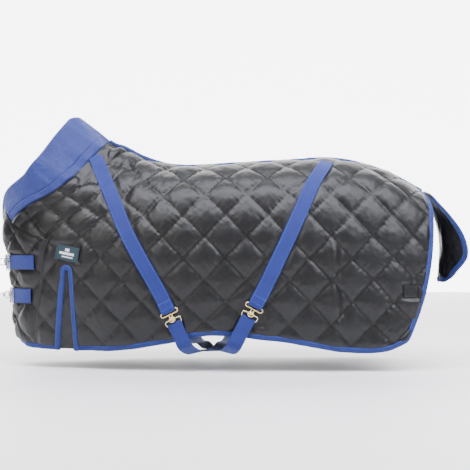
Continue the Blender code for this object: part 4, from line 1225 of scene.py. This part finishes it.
def makeChest(level, side):
    s = chestSettings
    height, backX = s[level]
    uStart, _ = findOnRug(backX, height, 1.6, 4.6)
    u = np.linspace(uStart, frontColumn + 0.03, 34)
    v = np.array([rowAtHeight(x, height) for x in u])
    base, normal = rugPoint(u, v), rugNormal(u, v)
    end, endNormal = base[-1], normal[-1]
    endAlong = unit(base[-1] - base[-4])
    up = np.array([0, 0, 1.0])
    out = unit(endAlong - up * endAlong[2])
    facing = unit(endNormal - up * endNormal[2])
    bar = end + endNormal * s["standOff"] + out * s["ringOut"] + facing * s["ringProud"]
    centres = base + normal * s["lift"]
    along = unit(np.gradient(centres, axis=0))
    flat = unit(normal - along * (normal * along).sum(-1, keepdims=True))
    across = unit(np.cross(flat, along))
    toBar = [centres[-1] * (1 - t) + (bar + facing * s["fold"]) * t for t in (0.5, 1.0)]
    fold = foldPath(bar, out, facing, s["fold"], 20, 200, 9)
    tail = [(bar - facing * (s["fold"] - 0.0008 * d / 0.01) - out * d, -facing) for d in (0.003, 0.006)]
    allCentres = np.concatenate([centres, toBar, [p for p, _ in fold + tail]])
    allFaces = np.concatenate([flat, [facing, facing], [f for _, f in fold + tail]])
    allAcross = np.concatenate([across, [across[-1]] * (2 + len(fold + tail))])
    allCentres, allFaces, allAcross = (mirror(x, side) for x in (allCentres, allFaces, allAcross))
    thing, length = band(f"{side}_{level}_chest_webbing", allCentres, allAcross, allFaces, s["width"],
                         s["thick"], blueWebbing)
    place(thing, "rug", "blue_webbing", f"{side}_{level}_chest_strap")
    k = len(u) - 14
    right = unit(mirror(unit(along[k] - up * along[k][2]), side))
    barSlide(f"{side}_{level}_slide", f"{side}_{level}_chest_slider", right, up, (0.0240, 0.0575), 0.0035,
             (0.0020, 0.0017), up * 0.0275, nickelPlate, "nickel_fitting")
    if side == "right":
        reach = mirror(unit(out * 0.3 + facing * 0.95), side)
        deeRing(f"{level}_dee_ring", f"{level}_chest_ring", mirror(bar, side), up, reach, 0.020, 0.020)
        return
    reach = unit(out * 0.25 + facing * 0.97)
    across = np.cross(up, reach)
    centre = bar + reach * 0.019
    eye = ovalLoop(bar + reach * 0.0035, up, reach, 0.030, 0.0070, 0.0034)
    parts = [wire("eye", eye, 0.0019, nickelPlate, closed=True)]
    body = ovalLoop(centre + reach * 0.001, up, reach, 0.0230, 0.0250, 0.0095)
    parts.append(wire("body", body, np.tile([0.0021, 0.0023], 14), nickelPlate, closed=True))
    parts.append(wire("swivel", [bar + reach * 0.0055, bar + reach * 0.0095], 0.0030, nickelPlate))
    place(joined(f"{level}_snap_body", parts), f"{level}_chest_snap", "nickel_fitting", f"{level}_chest_snap")
    middle = boxMiddle(f"{level}_snap_bolt")
    parts = [wire("bolt", [middle - up * 0.0080, middle + up * 0.0080], 0.0015, nickelPlate),
             wire("thumb", [middle + across * 0.0045, middle], [0.0020, 0.0012], nickelPlate)]
    place(joined(f"{level}_gate", parts), f"{level}_snap_bolt", "nickel_fitting", f"{level}_snap_bolt")


for level in ("upper", "lower"):
    for side in ("left", "right"):
        makeChest(level, side)
print("chest straps made")

# small sewn pieces
def sewnPatch(name, spotU, spotV, side, width, height, thick, lift, finish, tilt, bulge, node, slot="shell"):
    # a small patch laid on the quilt, following it
    n = rugNormal(spotU, spotV)
    up = unit(np.array([0, 0, 1.0]) - n * n[2])
    right = np.cross(up, n)
    c, sn = math.cos(tilt), math.sin(tilt)
    right, up = right * c + up * sn, up * c - right * sn
    x = np.linspace(-0.5, 0.5, 17) * width
    y = np.linspace(-0.5, 0.5, 13) * height
    X, Y = np.meshgrid(x, y, indexing="ij")
    edge = np.minimum(0.5 - np.abs(X) / width, 0.5 - np.abs(Y) / height)
    puff = bulge * smooth(edge * 6) + 0.0004 * softNoise(X * 90, Y * 90, 41)
    dx = fromPlane(spotU, spotV, X, Y, right, up)
    base = rugPoint(dx[..., 0], dx[..., 1])
    normal = rugNormal(dx[..., 0], dx[..., 1])
    shift = drape(dx[..., 0], dx[..., 1])
    outer = mirror(base + normal * (lift + thick + puff + shift)[..., None], side)
    inner = mirror(base + normal * (lift + shift)[..., None], side)
    uvs = np.stack([X, Y], -1)
    thing = turnOut(closedSheet(name, outer, inner, finish, uvs, sharp=True))
    rim = outer[1:-1, 1:-1]
    loop = np.concatenate([rim[:, 0], rim[-1], rim[::-1, -1], rim[0, ::-1]])
    lifted = mirror(np.broadcast_to(n, loop.shape), side) * 0.0003
    addStitches(slot, loop + lifted)
    if slot == "shell":  # a box with a cross
        n0 = mirror(n, side) * 0.0003
        steps = [round(k * (rim.shape[1] - 1) / (rim.shape[0] - 1)) for k in range(rim.shape[0])]
        addStitches(slot, [rim[k, j] + n0 for k, j in enumerate(steps)])
        addStitches(slot, [rim[k, -1 - j] + n0 for k, j in enumerate(steps)])
    place(thing, "rug", slot, node)


def fromPlane(u, v, x, y, right, up):
    # surface coordinates of points offset by x, y metres in the tangent plane
    here = rugPoint(u, v)
    alongU = (rugPoint(u + 0.02, v) - here) / 0.02
    alongV = (rugPoint(u, v + 0.02) - here) / 0.02
    system = np.array([[alongU @ right, alongV @ right], [alongU @ up, alongV @ up]])
    inverse = np.linalg.inv(system)
    return np.stack([u + inverse[0, 0] * x + inverse[0, 1] * y, v + inverse[1, 0] * x + inverse[1, 1] * y], -1)


def makeSmallPieces():
    u, v = findOnRug(-0.125, -0.400, 2.4, 4.3)
    sewnPatch("woven_label", u, v, "left", 0.086, 0.052, 0.0012, 0.0030, labelCloth, math.radians(-11), 0.0006,
              "shoulder_label", "label")
    u, v = findOnRug(1.045, -0.530, 8.4, 5.0)
    for side in ("left", "right"):
        sewnPatch(f"{side}_patch", u, v, side, 0.046, 0.041, 0.0018, 0.0022, plainNylon, 0, 0.0007,
                  f"{side}_leg_patch")
        sewnPatch(f"{side}_tab", u, v + 0.02, side, 0.028, 0.040, 0.0020, -0.0145, blueWebbing, 0, 0.0,
                  f"{side}_leg_tab", "blue_webbing")
        n = mirror(rugNormal(u, v), side)
        up = np.array([0, 0, 1.0])
        right = unit(np.cross(up, -n))
        inward = -unit(n - up * n[2])
        hang = unit(inward * 0.35 - up)
        top = boxMiddle(f"{side}_leg_ring") - hang * 0.012
        deeRing(f"{side}_dee", f"{side}_leg_ring", top, right, hang, 0.017, 0.024)
    print("small pieces made")


makeSmallPieces()

# tail flap
flapSettings = {"spine": ((0.0082, -0.003), (0.054, -0.077), (0.068, -0.152), (0.072, -0.232), (0.071, -0.292),
                          (0.069, -0.328)),
                "flare": (0.013, 0.024, 0.058, 0.064, 0.034, 0.006),
                "spread": (0.72, 0.90, 1.00, 0.88, 0.62, 0.34),
                "halfWidth": 0.150, "thick": 0.0070, "sag": 0.016, "length": 0.34}


def cubicAlong(values, t):
    values = np.array(values, float)
    ghost = np.concatenate([2 * values[:1] - values[1:2], values, 2 * values[-1:] - values[-2:-1]])
    k, w = cubicParts(t, len(values) - 1)
    return sum((w[a][..., None] if values.ndim > 1 else w[a]) * ghost[k + a] for a in range(4))


def flapPoint(across, down):
    s = flapSettings
    t = np.asarray(down) * 5
    centre = cubicAlong(s["spine"], t)
    top = rugPoint(float(lastColumn), 0.0)
    out = cubicAlong(s["flare"], t) * across ** 2
    wrinkle = 0.0035 * softNoise(across * 3, down * 4, 51) * smooth(down * 3) \
        + 0.002 * np.sin(down * 19 + across * 3) * np.abs(across)
    return np.stack([top[0] + centre[..., 0] + out + wrinkle,
                     across * cubicAlong(s["spread"], t) * s["halfWidth"],
                     top[2] + centre[..., 1] - s["sag"] * across ** 2 * (1 - down)], -1)


def flapNormal(across, down):
    step = 0.01
    side = flapPoint(across + step, down) - flapPoint(across - step, down)
    fall = flapPoint(across, down + step) - flapPoint(across, down - step)
    n = unit(np.cross(side, fall))
    return n * np.sign(n[..., :1])


def makeFlap():
    s = flapSettings
    across, down = np.meshgrid(np.linspace(-0.93, 0.93, 70), np.linspace(0.0, 0.96, 80), indexing="ij")
    point, normal = flapPoint(across, down), flapNormal(across, down)
    uvs = np.stack([across * s["halfWidth"], down * s["length"]], -1)
    x, y = across * s["halfWidth"] / quiltLook["along"], down * s["length"] / quiltLook["down"]
    diamond = np.abs(np.sin((x + y) * np.pi) * np.sin((x - y) * np.pi)) ** 0.4
    rim = smooth(np.minimum(np.minimum((0.93 - np.abs(across)) * 12, (0.96 - down) * 16), down * 10))
    puff = (0.004 * diamond + 0.0008 * softNoise(across * 12, down * 14, 52)) * rim
    half = s["thick"] / 2
    shell = turnOut(closedSheet("flap_quilt", point + normal * puff[..., None], point - normal * half, shellNylon,
                                uvs + np.array([0.02, 0.02])))
    place(shell, "tail_flap", "shell", "tail_flap_shell")
    dent = (0.0014 * diamond + 0.0007 * softNoise(across * 14, down * 12, 53)) * rim
    lining = turnOut(closedSheet("flap_inner_cloth", point - normal * (half + 0.0003),
                                 point - normal * (half + 0.0016 + dent[..., None]), liningNylon, uvs))
    place(lining, "tail_flap", "lining", "tail_flap_lining")
    route = [(-1, d) for d in np.linspace(0, 1, 60)]
    route += [(a, 1) for a in np.linspace(-1, 1, 60)[1:]] + [(1, d) for d in np.linspace(1, 0, 60)[1:]]
    route = roundedRoute(np.array(route, float), np.hanning(9))
    centres, normals = flapPoint(route[:, 0], route[:, 1]), flapNormal(route[:, 0], route[:, 1])
    along = unit(np.gradient(centres, axis=0))
    into = np.cross(normals, along)
    middle = flapPoint(route[:, 0] * 0.9, route[:, 1] * 0.9 + 0.04) - centres
    into *= np.sign((into * middle).sum(-1, keepdims=True))
    tape = sweep("flap_tape", centres, into, normals, tapeProfile(0.017, 0.0015, 0.0088, 0.0011), blueBinding)
    place(tape, "tail_flap", "blue_webbing", "tail_flap_binding")
    print("tail flap made")


makeFlap()

# stitches, by geometry nodes: short lengths of thread laid along every sewn row
def stitchGroup():
    group = bpy.data.node_groups.new("stitches", "GeometryNodeTree")
    face = group.interface
    face.new_socket("Rows", in_out="INPUT", socket_type="NodeSocketGeometry")
    for name, kind, value in (
            ("Pitch", "NodeSocketFloat", 0.005), ("Stitch Length", "NodeSocketFloat", 0.0036),
            ("Thread Radius", "NodeSocketFloat", 0.0005), ("Thread", "NodeSocketMaterial", None)):
        socket = face.new_socket(name, in_out="INPUT", socket_type=kind)
        if value is not None:
            socket.default_value = value
    face.new_socket("Stitches", in_out="OUTPUT", socket_type="NodeSocketGeometry")
    start, end = addNode(group, "NodeGroupInput")[0], addNode(group, "NodeGroupOutput")[0]
    curve = addNode(group, "GeometryNodeMeshToCurve", {"Mesh": (start, "Rows")}, "Curve")
    dots = addNode(group, "GeometryNodeCurveToPoints", {"Curve": curve, "Length": (start, "Pitch")}, "Points",
                   mode="LENGTH")
    piece = addNode(group, "GeometryNodeMeshCylinder", {
        "Vertices": 5, "Radius": (start, "Thread Radius"), "Depth": (start, "Stitch Length")}, "Mesh")
    turn = addNode(group, "FunctionNodeAlignRotationToVector", {"Vector": (dots[0], "Tangent")}, "Rotation",
                   axis="Z")
    laid = addNode(group, "GeometryNodeInstanceOnPoints", {"Points": dots, "Instance": piece, "Rotation": turn},
                   "Instances")
    real = addNode(group, "GeometryNodeRealizeInstances", {"Geometry": laid}, "Geometry")
    painted, _ = addNode(group, "GeometryNodeSetMaterial", {"Geometry": real, "Material": (start, "Thread")})
    group.links.new(painted.outputs["Geometry"], end.inputs["Stitches"])
    return group


def sewRows(name, rows, group, pitch, length, radius, finish):
    vertices, joins = [], []
    for row in rows:
        start = len(vertices)
        vertices += [tuple(p) for p in row]
        joins += [(start + k, start + k + 1) for k in range(len(row) - 1)]
    mesh = bpy.data.meshes.new(name + "_rows")
    mesh.from_pydata(vertices, joins, [])
    guide = linked(name + "_rows", mesh)
    work = guide.modifiers.new("stitches", "NODES")
    work.node_group = group
    sockets = {item.name: item.identifier for item in group.interface.items_tree if item.in_out == "INPUT"}
    for key, value in (("Pitch", pitch), ("Stitch Length", length), ("Thread Radius", radius), ("Thread", finish)):
        work[sockets[key]] = value
    guide.update_tag()
    bpy.context.view_layer.update()
    solved = guide.evaluated_get(bpy.context.evaluated_depsgraph_get())
    made = linked(name, bpy.data.meshes.new_from_object(solved))
    bpy.data.objects.remove(guide, do_unlink=True)
    if not made.data.materials:
        made.data.materials.append(finish)
    return made


def quiltRows(side):
    # where the quilting lines cross each row of the body grid
    u, v, mask = bodyGrid(0.012)
    a, b = clothAB(u, v)
    x, y = (a - quiltLook["atA"]) / quiltLook["along"], (b - quiltLook["atB"]) / quiltLook["down"]
    lines = []
    for field in (x + y, x - y):
        for level in range(int(np.ceil(field.min())), int(field.max()) + 1):
            run = []
            for j in range(v.shape[1]):
                at = np.searchsorted(field[:, j], level)
                inside = 0 < at < len(field) and mask[min(at - 1, mask.shape[0] - 1), min(j, mask.shape[1] - 1)]
                if inside:
                    f = (level - field[at - 1, j]) / (field[at, j] - field[at - 1, j])
                    run.append((u[at - 1, j] + f * (u[at, j] - u[at - 1, j]), v[0, j]))
                if (not inside or j == v.shape[1] - 1) and run:
                    if len(run) > 2:
                        lines.append(np.array(run))
                    run = []
    sign = 1 if side == "left" else -1
    out = []
    for line in lines:
        height = quiltHeight(line[:, 0], line[:, 1], rugPoint(line[:, 0], line[:, 1]), 1.0, 0) + 0.0006
        out.append(clothPoint(line[:, 0], line[:, 1] * sign, np.minimum(height, pillow["valley"] + 0.0012)))
    return out


def makeStitches():
    group = stitchGroup()
    for side in ("left", "right"):
        rows = quiltRows(side)
        place(sewRows(f"{side}_quilting", rows, group, 0.0062, 0.0044, 0.0005, darkThread), "rug", "shell")
    for kind, name, finish, slot in (("rug", "strap_stitches", blueThread, "blue_webbing"),
                                     ("binding", "binding_stitches", blueThread, "blue_webbing"),
                                     ("shell", "patch_stitches", darkThread, "shell"),
                                     ("label", "label_stitches", darkThread, "label"),
                                     ("blue_webbing", "tab_stitches", blueThread, "blue_webbing")):
        place(sewRows(name, stitchRows[kind], group, 0.0048, 0.0034, 0.00045, finish), "rug", slot)
    print("stitches made")


makeStitches()

# floor and light
def addFloor():
    mesh = bpy.data.meshes.new("floor")
    mesh.from_pydata([(-9, -9, -0.80), (9, -9, -0.80), (9, 9, -0.80), (-9, 9, -0.80)], [], [(0, 1, 2, 3)])
    _, _, connect = newMaterial("white_floor", {"Base Color": hexColor("f0f0f1"), "Roughness": 0.6}, None)
    mesh.materials.append(connect())
    floor = linked("floor", mesh)
    wall = bpy.data.meshes.new("backdrop")
    wall.from_pydata([(-9, 5, -0.80), (9, 5, -0.80), (9, 5, 9), (-9, 5, 9)], [], [(0, 1, 2, 3)])
    _, _, connect = newMaterial("lit_backdrop", {
        "Base Color": hexColor("f2f2f3"), "Emission Color": hexColor("ffffff"), "Emission Strength": 5.6}, None)
    wall.materials.append(connect())
    backdrop = linked("backdrop", wall)
    world = bpy.data.worlds.new("studio")
    world.use_nodes = True
    world.node_tree.nodes["Background"].inputs["Color"].default_value = hexColor("ffffff")
    world.node_tree.nodes["Background"].inputs["Strength"].default_value = 0.11
    bpy.context.scene.world = world
    for name, spot, aim, size, power, tint in (
            ("overhead", (0.40, -1.20, 2.2), (0.4, 0.0, -0.3), (3.6, 1.8), 250, "f0f1fb"),
            ("front", (-1.9, -2.4, 1.3), (0.0, 0, -0.35), (1.8, 1.8), 50, "fff8f0"),
            ("tail", (2.7, -1.9, 1.5), (0.95, 0, -0.25), (1.8, 1.6), 96, "f4f4fb")):
        data = bpy.data.lights.new(name, "AREA")
        data.shape = "RECTANGLE"
        data.size, data.size_y = size
        data.energy = power
        data.color = hexColor(tint)[:3]
        lamp = linked(name, data)
        lamp.location = spot
        lamp.rotation_euler = (Vector(aim) - Vector(spot)).to_track_quat("-Z", "Y").to_euler()


addFloor()
